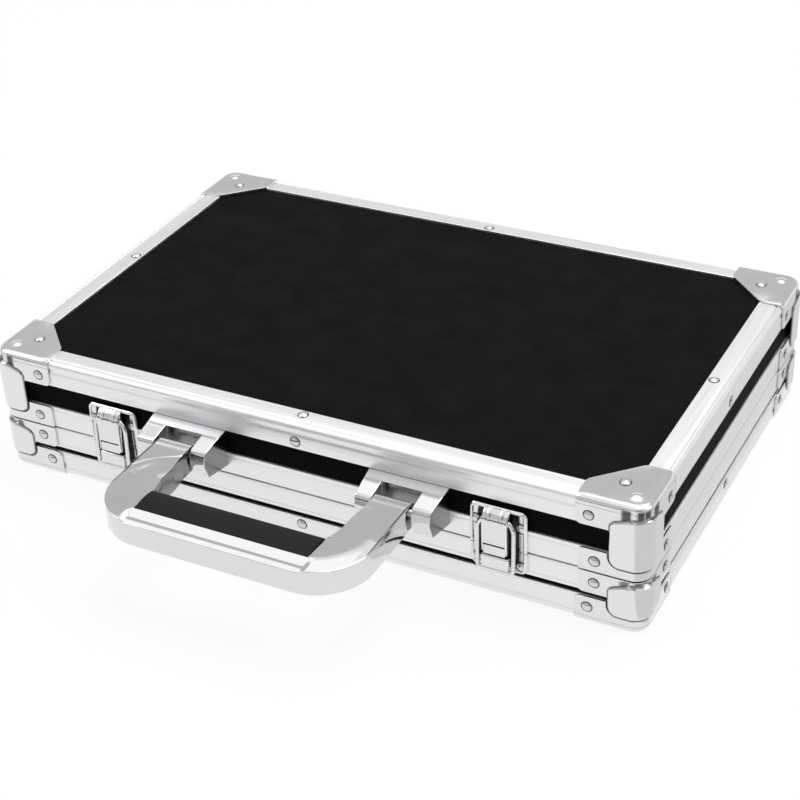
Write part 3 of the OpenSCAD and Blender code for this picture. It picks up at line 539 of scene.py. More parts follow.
def open_foam(name):
    material, n, l, shader = start_finish(name, (0.020, 0.020, 0.022), 0.0, 0.96, Specular_IOR_Level=0.05,
                                          Sheen_Weight=0.12)
    cells = make(n, l, "ShaderNodeTexVoronoi", {"Scale": 900.0, "Vector": object_place(n, l)})
    pores = between(n, l, cells.outputs["Distance"], 0.0, 1.0, 0.05, 0.65)
    l.new(tint(n, l, pores, (0.010, 0.010, 0.011), (0.034, 0.034, 0.037)), shader["Base Color"])
    raise_surface(n, l, shader, pores, 0.5, 0.0004)
    return material


def pin_steel(name):
    material, n, l, shader = start_finish(name, (0.55, 0.55, 0.56), 1.0, 0.30)
    l.new(between(n, l, noise(n, l, (0.2, 8.0, 8.0), 200.0), 0.25, 0.38), shader["Roughness"])
    return material


rubber, foam, steel = grip_rubber("grip_rubber"), open_foam("open_cell_foam"), pin_steel("pin_steel")
print("rubber, foam and steel made")

# %% [markdown]
# Some of the CAD's own nodes are right as they are: boards, panels and pins are flat or round already. They keep
# their shape and get their finish here. The others get one too, in case a node stays in view. The first rule
# whose word is in a node's name says which finish it gets.

# %% Finishes for the CAD nodes
FINISH_RULES = (("_panel", panel_film), ("_walls", board_film), ("_cap_", corner_plate), ("_wrap_", corner_plate),
                ("_foam", foam), ("_pins", steel), ("_screws", steel), ("_rivets", rivet_plate),
                ("handle_pad", rubber), ("bracket", handle_plate), ("handle", handle_plate),
                ("latch_bail", wire_plate))


def finish_for(name):
    if "_edge_" in name or "_rim_" in name:
        return rail_x if name.endswith(("front", "back")) else rail_y
    return next((finish for word, finish in FINISH_RULES if word in name), latch_plate_finish)


def wear(mesh, finish):
    """Puts one finish on every face of a mesh."""
    mesh.materials.clear()
    mesh.materials.append(finish)
    for polygon in mesh.polygons:
        polygon.material_index = 0


for name, node in nodes.items():
    wear(node.data, finish_for(name))
print("finishes on", len(nodes), "CAD nodes")

# %% [markdown]
# ## Pieces
# Small helpers serve every piece. `add_piece` makes an object of a mesh, lets it ride on its body and names its
# finish. `settle` turns a piece with live modifiers into a plain mesh. `shade` makes a mesh smooth, but keeps the
# edges sharp where two faces meet at more than a given angle, and `soften` breaks those edges with a bevel.

# %% Helpers for pieces


def shade(mesh, angle=32.0):
    mesh.shade_smooth()
    mesh.set_sharp_from_angle(angle=math.radians(angle))


def settle(obj, name):
    """The finished mesh of an object with its modifiers applied. The object itself is taken away."""
    bpy.context.view_layer.update()
    graph = bpy.context.evaluated_depsgraph_get()
    mesh = bpy.data.meshes.new_from_object(obj.evaluated_get(graph))
    bpy.data.objects.remove(obj)
    mesh.name = name
    return mesh


def add_piece(name, mesh, body, slot, finish, *stands_for):
    """A finished piece: its object at the origin, its finish on every face, riding on its body."""
    if finish is not None:
        wear(mesh, finish)
    obj = put_in_scene(name, mesh)
    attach(obj, body)
    if stands_for:
        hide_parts(*stands_for)
    return obj


def soften(name, mesh, width, angle, segments=3, sharp=34, slide=True):
    """Breaks the sharp edges of a mesh with a small bevel."""
    obj = put_in_scene(name + "_raw", mesh)
    bevel = obj.modifiers.new("broken_edge", "BEVEL")
    bevel.width, bevel.segments = width * MM, segments
    bevel.limit_method, bevel.angle_limit = "ANGLE", math.radians(angle)
    bevel.use_clamp_overlap, bevel.loop_slide = False, slide
    done = settle(obj, name)
    shade(done, sharp)
    return done


def four(stem):
    """The CAD's four nodes round the case, which one swept piece stands for."""
    return [stem + s for s in ("front", "right", "back", "left")]


print("piece helpers ready")

# %% [markdown]
# ### The rails
# Each edge of the case wears an aluminium extrusion: an angle with a round nose, and on both sides of the nose a
# soft valley that keeps it stiff and hides scratches. It could be modelled as a box with bevels, but a die makes
# it by pushing one outline along a line, and Geometry Nodes can do just that: sweep one outline along four
# straight runs and cut their ends to a mitre. The tree has the depth from which the ends are mitred as an input,
# because outside that depth the pressed corner covers the joint and the rail stops short of it.

# %% The rail tree


def start_tree(name, geometry_in, inputs, geometry_out):
    """A geometry tree with named inputs: its nodes, links, the inputs' sockets and its output node."""
    tree = bpy.data.node_groups.new(name, "GeometryNodeTree")
    tree.is_modifier = True
    sockets = [(geometry_in, "Geometry", "INPUT")] + [(label, kind, "INPUT") for label, kind in inputs]
    for label, kind, side in sockets + [(geometry_out, "Geometry", "OUTPUT")]:
        tree.interface.new_socket(label, in_out=side, socket_type="NodeSocket" + kind)
    n = tree.nodes
    return tree, n, tree.links, n.new("NodeGroupInput").outputs, n.new("NodeGroupOutput")


def keep(n, l, geometry, kind, label, value):
    """Stores a value on the points of a geometry: gives the geometry and the stored value on."""
    node = n.new("GeometryNodeCaptureAttribute")
    node.domain = "POINT"
    node.capture_items.new(kind, label)
    l.new(geometry, node.inputs["Geometry"])
    l.new(value, node.inputs[label])
    return node.outputs["Geometry"], node.outputs[label]


def rail_tree():
    tree, n, l, given, result = start_tree(
        "rail_sweep", "Runs", (("Outline", "Object"), ("Stop", "Float"), ("Mitre from", "Float"),
                               ("Finish X", "Material"), ("Finish Y", "Material")), "Rails")
    runs = make(n, l, "GeometryNodeMeshToCurve", {"Mesh": given["Runs"]})
    upright = make(n, l, "GeometryNodeSetCurveNormal", {"Curve": runs.outputs["Curve"]}, mode="Z_UP")
    heading = n.new("GeometryNodeInputTangent").outputs["Tangent"]
    line, tangent = keep(n, l, upright.outputs["Curve"], "VECTOR", "Tangent", heading)
    line, where = keep(n, l, line, "FLOAT", "Where", n.new("GeometryNodeSplineParameter").outputs["Factor"])

    outline = make(n, l, "GeometryNodeObjectInfo", {"Object": given["Outline"]})
    outline_curve = make(n, l, "GeometryNodeMeshToCurve", {"Mesh": outline.outputs["Geometry"]})
    place = n.new("GeometryNodeInputPosition").outputs["Position"]
    inwards = make(n, l, "ShaderNodeSeparateXYZ", {0: place}).outputs["X"]
    profile, depth = keep(n, l, outline_curve.outputs["Curve"], "FLOAT", "Depth", inwards)
    sweep = make(n, l, "GeometryNodeCurveToMesh", {"Fill Caps": True, "Curve": line, "Profile Curve": profile})

    depth = calc(n, l, "ABSOLUTE", depth)
    deep = make(n, l, "FunctionNodeCompare", {"A": depth, "B": given["Mitre from"]}, data_type="FLOAT",
                operation="GREATER_THAN")
    cut = make(n, l, "GeometryNodeSwitch", {"Switch": deep.outputs[0], "False": given["Stop"], "True": depth},
               input_type="FLOAT")
    amount = calc(n, l, "MULTIPLY", calc(n, l, "MULTIPLY_ADD", where, -2.0, 1.0), cut.outputs[0])
    move = make(n, l, "ShaderNodeVectorMath", operation="SCALE")
    l.new(tangent, move.inputs[0])
    l.new(amount, move.inputs["Scale"])
    mitre = make(n, l, "GeometryNodeSetPosition", {"Geometry": sweep.outputs["Mesh"], "Offset": move.outputs[0]})

    realize = make(n, l, "GeometryNodeRealizeInstances", {"Geometry": mitre.outputs["Geometry"]})
    along = make(n, l, "ShaderNodeSeparateXYZ", {0: tangent}).outputs["Y"]
    runs_y = make(n, l, "FunctionNodeCompare", {"A": calc(n, l, "ABSOLUTE", along), "B": 0.5}, data_type="FLOAT",
                  operation="GREATER_THAN")
    first = make(n, l, "GeometryNodeSetMaterial", {"Geometry": realize.outputs["Geometry"],
                                                   "Material": given["Finish X"]})
    second = make(n, l, "GeometryNodeSetMaterial", {"Geometry": first.outputs["Geometry"],
                                                    "Selection": runs_y.outputs[0], "Material": given["Finish Y"]})
    l.new(second.outputs["Geometry"], result.inputs["Rails"])
    return tree


def run_tree(obj, tree, name, **values):
    """The mesh a tree makes of an object. Inputs are found by the labels they show, and their values are set."""
    made = obj.modifiers.new(name, "NODES")
    made.node_group = tree
    sockets = {item.name: item.identifier for item in tree.interface.items_tree if item.in_out == "INPUT"}
    for label, value in values.items():
        made[sockets[label.replace("_", " ")]] = value
    return settle(obj, name)


rail_sweep = rail_tree()
print("rail tree:", len(rail_sweep.nodes), "nodes")

# %% [markdown]
# The outlines are drawn in millimetres as seen at the right end of the front rail: depth into the case first,
# height second. A helper turns one into a closed mesh line. The runs go once round the case, so that depth always
# points inwards.

# %% Outlines and runs


def lines_object(name, points, edges):
    """A mesh of lines only, as an object."""
    mesh = bpy.data.meshes.new(name)
    mesh.from_pydata(points, edges, [])
    return put_in_scene(name, mesh)


def outline_object(name, points, flip):
    """A closed outline, depth on x and height on y, upside down for the base."""
    return lines_object(name, [(-d * MM, (h if flip else -h) * MM, 0) for d, h in points],
                        [(k, (k + 1) % len(points)) for k in range(len(points))])


def runs_object(name, height):
    """Four straight runs round the case at one height, each from one corner to the next."""
    corners = [(-HALF_W, FRONT_Y), (HALF_W, FRONT_Y), (HALF_W, BACK_Y), (-HALF_W, BACK_Y)]
    verts = [(*corners[(k + end) % 4], height) for k in range(4) for end in (0, 1)]
    return lines_object(name, verts, [(2 * k, 2 * k + 1) for k in range(4)])


def arc(cx, cy, r, start, end, steps):
    """Points on an arc between two angles, in degrees."""
    return [(cx + r * math.cos(math.radians(start + (end - start) * k / steps)),
             cy + r * math.sin(math.radians(start + (end - start) * k / steps))) for k in range(steps + 1)]


RAIL_STOP = 8 * MM


def sweep_rails(name, body, height, outline, flip, mitre_from, stem):
    profile = outline_object(name + "_outline", outline, flip)
    mesh = run_tree(runs_object(name + "_runs", height), rail_sweep, name, Outline=profile, Stop=RAIL_STOP,
                    Mitre_from=mitre_from, Finish_X=rail_x, Finish_Y=rail_y)
    bpy.data.objects.remove(profile)
    shade(turn_outward(mesh), 24)
    return add_piece(name, mesh, body, "edging", None, *four(stem))


NOSE = 2.4
EDGE_W, EDGE_H, WALL = 12.1, 13.4, 1.2
edge_outline = [(EDGE_W, -0.25), (EDGE_W - 0.08, -0.08), (EDGE_W - 0.25, 0.0), (8.2, 0.0), (4.9, 0.0), (4.55, -0.015),
                (4.2, -0.08), (3.85, -0.20), (3.5, -0.31), (3.15, -0.35), (2.8, -0.30), (2.55, -0.20), (2.3, -0.07)]
edge_outline += arc(NOSE, -NOSE, NOSE, 96, 180, 14)
edge_outline += [(0.0, -2.9), (0.05, -3.3), (0.14, -3.7), (0.26, -4.1), (0.33, -4.5), (0.35, -4.9), (0.33, -5.3),
                 (0.26, -5.7), (0.14, -6.1), (0.05, -6.5), (0.0, -6.9), (0.0, -9.0), (0.0, -EDGE_H + 0.3),
                 (0.09, -EDGE_H + 0.09), (0.3, -EDGE_H), (WALL, -EDGE_H), (WALL, -2.2), (1.5, -1.5), (2.2, -WALL),
                 (EDGE_W, -WALL)]
lid_edging = sweep_rails("lid_edging", "lid", TOP_Z, edge_outline, False, 3.9 * MM, "lid_edge_")
base_edging = sweep_rails("base_edging", "base", FLOOR_Z, edge_outline, True, 3.9 * MM, "base_edge_")
print("edging:", len(lid_edging.data.polygons), "faces in the lid,", len(base_edging.data.polygons), "in the base")

# %% [markdown]
# The rims of lid and base are a second extrusion: a band on the outside, a ledge over the board's edge and a lip
# inside. The two ledges meet at the parting line. A faint step runs along the band near its far edge.

# %% The rims
RIM_H, WEB, LIP, BOARD_IN = 11.7, 1.5, 8.0, 4.2
lip_out = BOARD_IN + WALL
rim_outline = [(0.35, 0.22), (0.10, 0.31), (0.0, 0.54), (0.0, 4.0), (0.0, 9.0), (0.05, 9.25), (0.16, 9.4),
               (0.16, 9.7), (0.05, 9.85), (0.0, 10.1), (0.0, RIM_H - 0.3), (0.09, RIM_H - 0.09), (0.3, RIM_H),
               (WALL, RIM_H), (WALL, WEB), (BOARD_IN, WEB), (BOARD_IN, LIP - 0.25), (BOARD_IN + 0.25, LIP),
               (lip_out - 0.25, LIP), (lip_out, LIP - 0.25), (lip_out, 0.3), (lip_out - 0.3, 0.0), (1.6, 0.0),
               (1.5, 0.22)]
sweep_rails("lid_rims", "lid", rim_low.z, rim_outline, False, 2.1 * MM, "lid_rim_")
sweep_rails("base_rims", "base", base_rim_high.z, rim_outline, True, 2.1 * MM, "base_rim_")
print("rims:", [round(v / MM, 2) for v in (rim_low.z, rim_high.z, base_rim_low.z, base_rim_high.z)])

# %% [markdown]
# ### The rivets
# Sixty-four domed rivets hold rails, corners, latches and hinges to the boards. Their places come straight
# from the CAD: each head there is one loose part of the rivet node. Its middle and its axis are read from it,
# and Geometry Nodes put one dome on each place. The dome is turned once as a lathe would: a low crown with a
# rounded rim. A thin dark line of painted shade runs round its foot where it meets the metal, for the shadow
# there. It is part of the shape, marked by an attribute that the finish reads.

# %% Read the rivets' places


def loose_parts(node):
    """The separate parts of a CAD node, each as a list of its points, from a merged copy."""
    work = bmesh.new()
    work.from_mesh(node.data)
    bmesh.ops.remove_doubles(work, verts=work.verts, dist=1e-6)
    left = set(work.verts)
    found = []
    while left:
        stack = [left.pop()]
        part = [stack[0]]
        while stack:
            for edge in stack.pop().link_edges:
                for vert in edge.verts:
                    if vert in left:
                        left.remove(vert)
                        stack.append(vert)
                        part.append(vert)
        found.append([v.co.copy() for v in part])
    work.free()
    return found


HEAD_H = 1.1
case_middle = Vector((0, MID_Y, 0))


def rivet_seat(points):
    """Where a rivet's head sits on its surface, and which way it looks."""
    low, high = (Vector([pick(p[i] for p in points) for i in range(3)]) for pick in (min, max))
    middle, size = (low + high) / 2, high - low
    out = max(range(3), key=lambda i: abs((size[i] - (size[(i + 1) % 3] + size[(i + 2) % 3]) / 2) / size[i]))
    axis = Vector((0, 0, 0))
    axis[out] = 1.0 if out == 2 or middle[out] > case_middle[out] else -1.0
    seat = middle.copy()
    seat[out] = (high[out] - HEAD_H * MM) if axis[out] > 0 else (low[out] + HEAD_H * MM)
    return seat, axis


lid_seats = [rivet_seat(part) for part in loose_parts(nodes["lid_rivets"])]
base_seats = [rivet_seat(part) for part in loose_parts(nodes["base_rivets"])]
print("rivets:", len(lid_seats), "in the lid,", len(base_seats), "in the base")

# %% The rivet tree


def lathe(name, outline, steps):
    """A closed shape turned round z from (radius, height) points that start and end on the axis."""
    work = bmesh.new()
    rings = []
    for r, z in outline:
        angles = [2 * math.pi * k / steps for k in range(steps)] if r >= 1e-9 else [0]
        rings.append([work.verts.new((r * math.cos(a), r * math.sin(a), z)) for a in angles])
    for a, b in zip(rings, rings[1:]):
        for k in range(steps):
            quad = [a[k % len(a)], a[(k + 1) % len(a)], b[(k + 1) % len(b)], b[k % len(b)]]
            corners = list(dict.fromkeys(quad))
            if len(corners) > 2:
                work.faces.new(corners)
    mesh = mesh_of(work, name)
    shade(mesh, 50)
    return mesh


def rivet_tree():
    tree, n, l, given, result = start_tree(
        "rivet_rows", "Seats", (("Head", "Object"), ("Size", "Float"), ("Seed", "Int"), ("Finish", "Material")),
        "Rivets")
    head = make(n, l, "GeometryNodeObjectInfo", {"Object": given["Head"]})
    points = make(n, l, "GeometryNodeMeshToPoints", {"Mesh": given["Seats"]})
    looks = make(n, l, "GeometryNodeInputNamedAttribute", {"Name": "axis"}, data_type="FLOAT_VECTOR")
    upright = make(n, l, "FunctionNodeAlignRotationToVector", {"Vector": looks.outputs["Attribute"]}, axis="Z")
    spread_of_sizes = make(n, l, "FunctionNodeRandomValue", {"Min": 0.975, "Max": 1.025, "Seed": given["Seed"]},
                           data_type="FLOAT")
    grow = calc(n, l, "MULTIPLY", given["Size"], spread_of_sizes.outputs[1])
    put = make(n, l, "GeometryNodeInstanceOnPoints", {
        "Points": points.outputs["Points"], "Instance": head.outputs["Geometry"],
        "Rotation": upright.outputs["Rotation"], "Scale": grow})
    realize = make(n, l, "GeometryNodeRealizeInstances", {"Geometry": put.outputs["Instances"]})
    finish = make(n, l, "GeometryNodeSetMaterial", {"Geometry": realize.outputs["Geometry"],
                                                    "Material": given["Finish"]})
    l.new(finish.outputs["Geometry"], result.inputs["Rivets"])
    return tree


rivet_rows = rivet_tree()
print("rivet tree:", len(rivet_rows.nodes), "nodes")

# %% Set the rivets
HEAD_OUTLINE = [(0.0, 1.10), (0.55, 1.05), (1.05, 0.92), (1.5, 0.72), (1.9, 0.48), (2.2, 0.28), (2.38, 0.14),
                (2.46, 0.03), (2.74, 0.02), (2.78, -0.05), (0.0, -0.10)]
# The painted shade ring starts at this radius on the head and is full after the fade.
GAP_R, GAP_FADE = 2.12, 0.3


def set_rivets(name, body, seats, *stands_for):
    rows = lines_object(name + "_rows", [tuple(seat) for seat, axis in seats], [])
    looks = rows.data.attributes.new("axis", "FLOAT_VECTOR", "POINT")
    looks.data.foreach_set("vector", [c for seat, axis in seats for c in axis])
    turned = lathe(name + "_head", [(r * MM, z * MM) for r, z in HEAD_OUTLINE], 28)
    # Painted shade: a dark ring round the head's foot, for the shadow where it meets the metal.
    gap = turned.attributes.new("gap", "FLOAT", "POINT")
    for k, v in enumerate(turned.vertices):
        gap.data[k].value = min(1.0, max(0.0, (math.hypot(v.co.x, v.co.y) / MM - GAP_R) / GAP_FADE))
    head = put_in_scene(name + "_head", turned)
    mesh = run_tree(rows, rivet_rows, name, Head=head, Size=1.0, Seed=3, Finish=rivet_plate)
    bpy.data.objects.remove(head)
    shade(mesh, 50)
    return add_piece(name, mesh, body, "rivet", rivet_plate, *stands_for)


lid_domes = set_rivets("lid_rivet_heads", "lid", lid_seats, "lid_rivets")
base_domes = set_rivets("base_rivet_heads", "base", base_seats, "base_rivets")
print("rivet heads:", len(lid_domes.data.polygons), "and", len(base_domes.data.polygons), "faces")

# %% [markdown]
# ### The pressed corners
# A press makes each corner from one flat blank. The ears fold down both faces, the top edge rolls over, and the
# tongue that runs down round the corner is pushed out from behind, so it stands proud like half a barrel. Boxes
# and bevels can't give that flow. So the script works as the press does: it draws the blank flat, cuts it into
# small cells, and maps every cell round the corner, with a height that says how far the metal was pushed out.

# %% The blank
CORNER_R, CAP_T, CAP_REACH, WRAP_REACH, TONGUE = 7.0, 1.0, 32.2, 30.6, 16.5
UNDER = 0.03  # the inner skin lies this far off the rails
HALF_ARC = CORNER_R * math.pi / 4
ROLL_LEN = NOSE * math.pi / 2


def along_face(distance):
    """A distance from the corner along a face, as a length on the blank from its middle line."""
    return distance - CORNER_R + HALF_ARC


def rounded(points, steps=5):
    """An outline whose corners are rounded: each point is (x, y, radius)."""
    out = []
    for k, (x, y, r) in enumerate(points):
        here = Vector((x, y))
        if r <= 0:
            out.append(here)
            continue
        before, after = Vector(points[k - 1][:2]), Vector(points[(k + 1) % len(points)][:2])
        to_before, to_after = (before - here).normalized(), (after - here).normalized()
        half = to_before.angle(to_after) / 2
        start, end = here + to_before * (r / math.tan(half)), here + to_after * (r / math.tan(half))
        middle = here + (to_before + to_after).normalized() * (r / math.sin(half))
        for j in range(steps + 1):
            way = start.lerp(end, j / steps) - middle
            out.append(middle + way.normalized() * r)
    return out


def cut_blank(outline, u_cuts, w_cuts):
    """The blank as a flat mesh, cut into cells along the lines given. Both sides of the middle line are cut alike."""
    work = bmesh.new()
    work.faces.new([work.verts.new((p.x, p.y, 0)) for p in outline])
    planes = [((u, 0, 0), (1, 0, 0)) for u in u_cuts] + [((0, w, 0), (0, 1, 0)) for w in w_cuts]
    for co, no in planes:
        bmesh.ops.bisect_plane(work, geom=work.verts[:] + work.edges[:] + work.faces[:], dist=1e-5,
                               plane_co=co, plane_no=no)
    bmesh.ops.remove_doubles(work, verts=work.verts, dist=0.09)
    work.verts.index_update()
    return work


def spread(start, end, step):
    """Evenly spaced numbers from start to end, about a step apart."""
    count = max(1, round((end - start) / step))
    return [start + (end - start) * k / count for k in range(count + 1)]


def smooth_step(edge_a, edge_b, value):
    t = min(1.0, max(0.0, (value - edge_a) / (edge_b - edge_a)))
    return t * t * (3 - 2 * t)


TONGUE_ARCH = 3.4
side_cuts = spread(HALF_ARC, 12.0, 0.8) + [12.8, 13.4, 13.8, 14.1, 14.4, 14.7, 15.0, 15.3, 15.6, 16.0, 16.4, 17.5,
                                           20.0, 23.0, 26.0]
u_cuts = spread(-HALF_ARC, HALF_ARC, 0.6) + side_cuts + [-u for u in side_cuts]
print("blank cut at", len(u_cuts), "lines across")

# %% [markdown]
# On the blank, u runs round the corner and w runs down from the top edge. `fold` takes a point of the blank to
# its place. Along the roll it turns through a quarter circle, and past that it goes straight down. The push
# moves it out along the surface's own normal.

# %% Fold the blank round the corner


def fold(u, w, push, rolled):
    """Distances from both faces and height under the top edge, for a point of the blank."""
    if rolled and w < ROLL_LEN:
        turn = w / NOSE
        depth = NOSE - (NOSE + push) * math.sin(turn)
        height = -NOSE + (NOSE + push) * math.cos(turn)
    else:
        depth = -push
        height = -NOSE - (w - ROLL_LEN) if rolled else -w
    if abs(u) <= HALF_ARC:
        angle = math.pi / 4 + u / CORNER_R
        radius = CORNER_R - depth
        return CORNER_R - radius * math.cos(angle), CORNER_R - radius * math.sin(angle), height
    straight = CORNER_R + abs(u) - HALF_ARC
    return (straight, depth, height) if u > 0 else (depth, straight, height)


def arched(level, u):
    """A level on the blank that rises in an arch over the tongue's middle."""
    return level - TONGUE_ARCH * (1 - min(1.0, abs(u) / along_face(TONGUE)) ** 2)


def beyond(qx, qy, r):
    """Distance from a shape with corners of radius r, from how far a place lies past its straight sides."""
    return math.hypot(max(qx, 0), max(qy, 0)) + min(max(qx, qy), 0) - r


def tongue_distance(u, w, top, low):
    """Signed distance to the tongue's edge, below 0 inside it: an arched top and a round end."""
    half, r = along_face(TONGUE), 5.0 if w > (top + low) / 2 else 2.2
    return beyond(abs(u) - (half - r), max(arched(top, u) + r - w, w - (low - r)), r)


def tongue_push(u, w, top, low):
    """How far the tongue stands out: 1 on its body, falling off round its edge."""
    return smooth_step(0.45, -0.95, tongue_distance(u, w, top, low))


def band(value, start, full, fade, end):
    """1 between full and fade, and 0 before start and after end."""
    return smooth_step(start, full, value) * (1 - smooth_step(fade, end, value))


def tongue_shadow(u, w, top, low):
    """1 in the painted shadow line on the metal that the tongue lies on, just outside its edge."""
    return band(tongue_distance(u, w, top, low), -0.5, -0.1, 0.55, 1.05)


def tongue_edge_shade(u, w, top, low):
    """1 in the fine line of painted shade along the tongue's edge, from the same distance."""
    return 0.8 * band(tongue_distance(u, w, top, low), -0.50, -0.20, 0.25, 0.6)


def press_corner(name, outline, w_cuts, outer, inner, plate, shade_marks):
    """A pressed corner in its own frame. Outer and inner give the push of both skins, plate the top's outline."""
    blank = cut_blank(outline, u_cuts, w_cuts)
    rolled = plate is not None
    work = bmesh.new()
    # Each point keeps how much painted shade it gets, for the finish to read.
    mark = work.verts.layers.float.new("gap")
    skins = [{v.index: work.verts.new(fold(v.co.x, v.co.y, push(v.co.x, v.co.y), rolled)) for v in blank.verts}
             for push in (outer, inner)]
    for v in blank.verts:
        skins[0][v.index][mark] = skins[1][v.index][mark] = shade_marks(v.co.x, v.co.y)
    for f in blank.faces:
        ids = [v.index for v in f.verts]
        work.faces.new([skins[0][i] for i in ids])
        work.faces.new([skins[1][i] for i in reversed(ids)])
    for e in blank.edges:
        if len(e.link_faces) == 1 and not (rolled and e.verts[0].co.y < 1e-4 and e.verts[1].co.y < 1e-4):
            a, b = e.verts[0].index, e.verts[1].index
            work.faces.new([skins[0][a], skins[0][b], skins[1][b], skins[1][a]])
    if rolled:
        row = sorted((v for v in blank.verts if v.co.y < 1e-4), key=lambda v: -v.co.x)
        top, under = ([skin[v.index] for v in row] for skin in skins)
        rest_top = [work.verts.new((p.x, p.y, CAP_T)) for p in plate]
        rest_under = [work.verts.new((p.x, p.y, -WALL + 0.02 if min(p.x, p.y) > EDGE_W else UNDER)) for p in plate]
        work.faces.new(top + rest_top)
        work.faces.new(list(reversed(under + rest_under)))
        loop_top, loop_under = [top[-1]] + rest_top + [top[0]], [under[-1]] + rest_under + [under[0]]
        for k in range(len(loop_top) - 1):
            work.faces.new([loop_top[k], loop_top[k + 1], loop_under[k + 1], loop_under[k]])
    blank.free()
    return mesh_of(work, name)


print("one cell's place, 3 mm round and 2 mm down the roll:", [round(v, 2) for v in fold(3, 2, CAP_T, True)])

# %% [markdown]
# Now the four kinds of corner. The lid's cap has ears, the rolled top edge with a fine crease under it, a neck
# where the metal draws in, and the tongue below. The base's cap is the same without tongue and bump. The wraps
# round the rims are bands, and the base's wrap has a tongue of its own.

# %% The lid's cap
EAR_H = 13.4
ear_low = ROLL_LEN + EAR_H - NOSE
tongue_low = ROLL_LEN + (TOP_Z / MM - 34.15) - NOSE
tongue_top = ROLL_LEN + (TOP_Z / MM - 57.4) - NOSE
lap_w = ROLL_LEN + (TOP_Z - rim_high.z) / MM - NOSE
cap_u, tongue_u, wrap_u = along_face(CAP_REACH), along_face(TONGUE), along_face(WRAP_REACH)


def mirrored(right_side):
    """A closed outline from its right half, listed from the top middle outwards and down."""
    return right_side + [(-x, y, r) for x, y, r in reversed(right_side)]


def crease(w):
    """The fine line under the rolled edge."""
    return -0.24 * math.exp(-((w - ROLL_LEN - 0.5) / 0.24) ** 2)


def neck(u, w, high, low):
    """The metal draws in where it goes from the roll to the tongue."""
    low = arched(low, u)
    return -0.75 * (1 - smooth_step(6.0, 11.0, abs(u))) * band(w, high, high + 0.8, low - 0.9, low)


def cap_outer(u, w):
    raised = tongue_push(u, w, tongue_top, tongue_low)
    return CAP_T + crease(w) + neck(u, w, ROLL_LEN - 1.1, tongue_top + 0.3) + CAP_T * raised


def valley(u, w, high, low):
    """1 in the folds of the neck, where dark reflections are painted: two on each side of the corner."""
    across = max(band(abs(u), -0.4, 0.5, 2.6, 3.5), band(abs(u), 5.3, 6.1, 9.2, 10.6))
    low = arched(low, u)
    return 0.9 * across * band(w, high - 0.3, high + 0.5, low - 0.5, low + 0.2)


# Painted shade on the lid's cap: a line along the tongue's edge and dark reflections in the neck's folds.
def cap_shade_marks(u, w):
    return max(tongue_edge_shade(u, w, tongue_top, tongue_low), valley(u, w, ROLL_LEN - 1.1, tongue_top + 0.3))


def inner_skin(lap=math.inf):
    """The push of the inner skin. It steps out at the level where the metal laps over another piece."""
    return lambda u, w: CAP_T + UNDER if w > lap - 0.05 else UNDER


lid_cap_outline = rounded(mirrored([(cap_u, 0, 0), (cap_u, ear_low, 2.6), (tongue_u, ear_low, 1.2),
                                    (tongue_u, tongue_low, 6.0)]))
roll_cuts = spread(0, ROLL_LEN, 0.42) + [ROLL_LEN + d for d in (0.2, 0.35, 0.5, 0.65, 0.8, 1.05, 1.4, 2.0, 2.7)]
lid_cap_cuts = roll_cuts + spread(tongue_top - 4.6, tongue_top + 2.2, 0.38)
lid_cap_cuts += spread(tongue_top + 3.2, lap_w - 0.7, 3.0)
lid_cap_cuts += [lap_w - 0.1, lap_w, lap_w + 2.2] + spread(tongue_low - 2.6, tongue_low - 0.2, 0.4)
inner_corners = rounded([(0, CAP_REACH, 0), (EDGE_W, CAP_REACH, 5.0), (CAP_REACH, EDGE_W, 5.0), (CAP_REACH, 0, 0)])
plate_inner = inner_corners[1:-1]
lid_cap_mesh = press_corner("lid_cap", lid_cap_outline, lid_cap_cuts, cap_outer, inner_skin(lap_w), plate_inner,
                            cap_shade_marks)
print("lid cap:", len(lid_cap_mesh.polygons), "cells")

# %% The base's cap and both wraps
base_cap_outline = rounded(mirrored([(cap_u, 0, 0), (cap_u, ear_low, 3.0)]))
base_tongue_top = base_rim_high.z / MM - 22.7
base_tongue_low = base_rim_high.z / MM - 7.9
turned_over = (base_rim_high.z - FLOOR_Z) / MM + ROLL_LEN - NOSE


# Painted shadow of the base wrap's tongue, along its edge on the base cap.
def base_cap_shade_marks(u, w):
    return tongue_shadow(u, turned_over - w, base_tongue_top, base_tongue_low)


base_cap_cuts = roll_cuts + spread(ROLL_LEN + 3.2, ear_low - 0.3, 0.42)
base_cap_mesh = press_corner("base_cap", base_cap_outline, base_cap_cuts, lambda u, w: CAP_T + crease(w),
                             inner_skin(), plate_inner, base_cap_shade_marks)


# Painted shadow of the lid cap's tongue, along its edge on the lid wrap.
def lid_wrap_shade_marks(u, w):
    return tongue_shadow(u, w + lap_w, tongue_top, tongue_low)


wrap_low, PARTED = RIM_H, 0.22
lid_wrap_outline = rounded(mirrored([(wrap_u, 0, 1.8), (wrap_u, wrap_low - PARTED, 0.0)]))
lid_wrap_mesh = press_corner("lid_wrap", lid_wrap_outline, spread(0.9, wrap_low - 0.9, 0.42), lambda u, w: CAP_T,
                             inner_skin(), None, lid_wrap_shade_marks)

base_lap_w = (base_rim_high.z - base_rail_high.z) / MM


def base_wrap_outer(u, w):
    raised = tongue_push(u, w, base_tongue_top, base_tongue_low)
    return CAP_T + neck(u, w, 0.7, base_tongue_top + 0.3) + CAP_T * raised


# Painted shade on the base wrap: a line along its tongue's edge and dark reflections in its neck's folds.
def base_wrap_shade_marks(u, w):
    return max(tongue_edge_shade(u, w, base_tongue_top, base_tongue_low), 0.8 * valley(u, w, 1.0, base_tongue_top + 0.3))


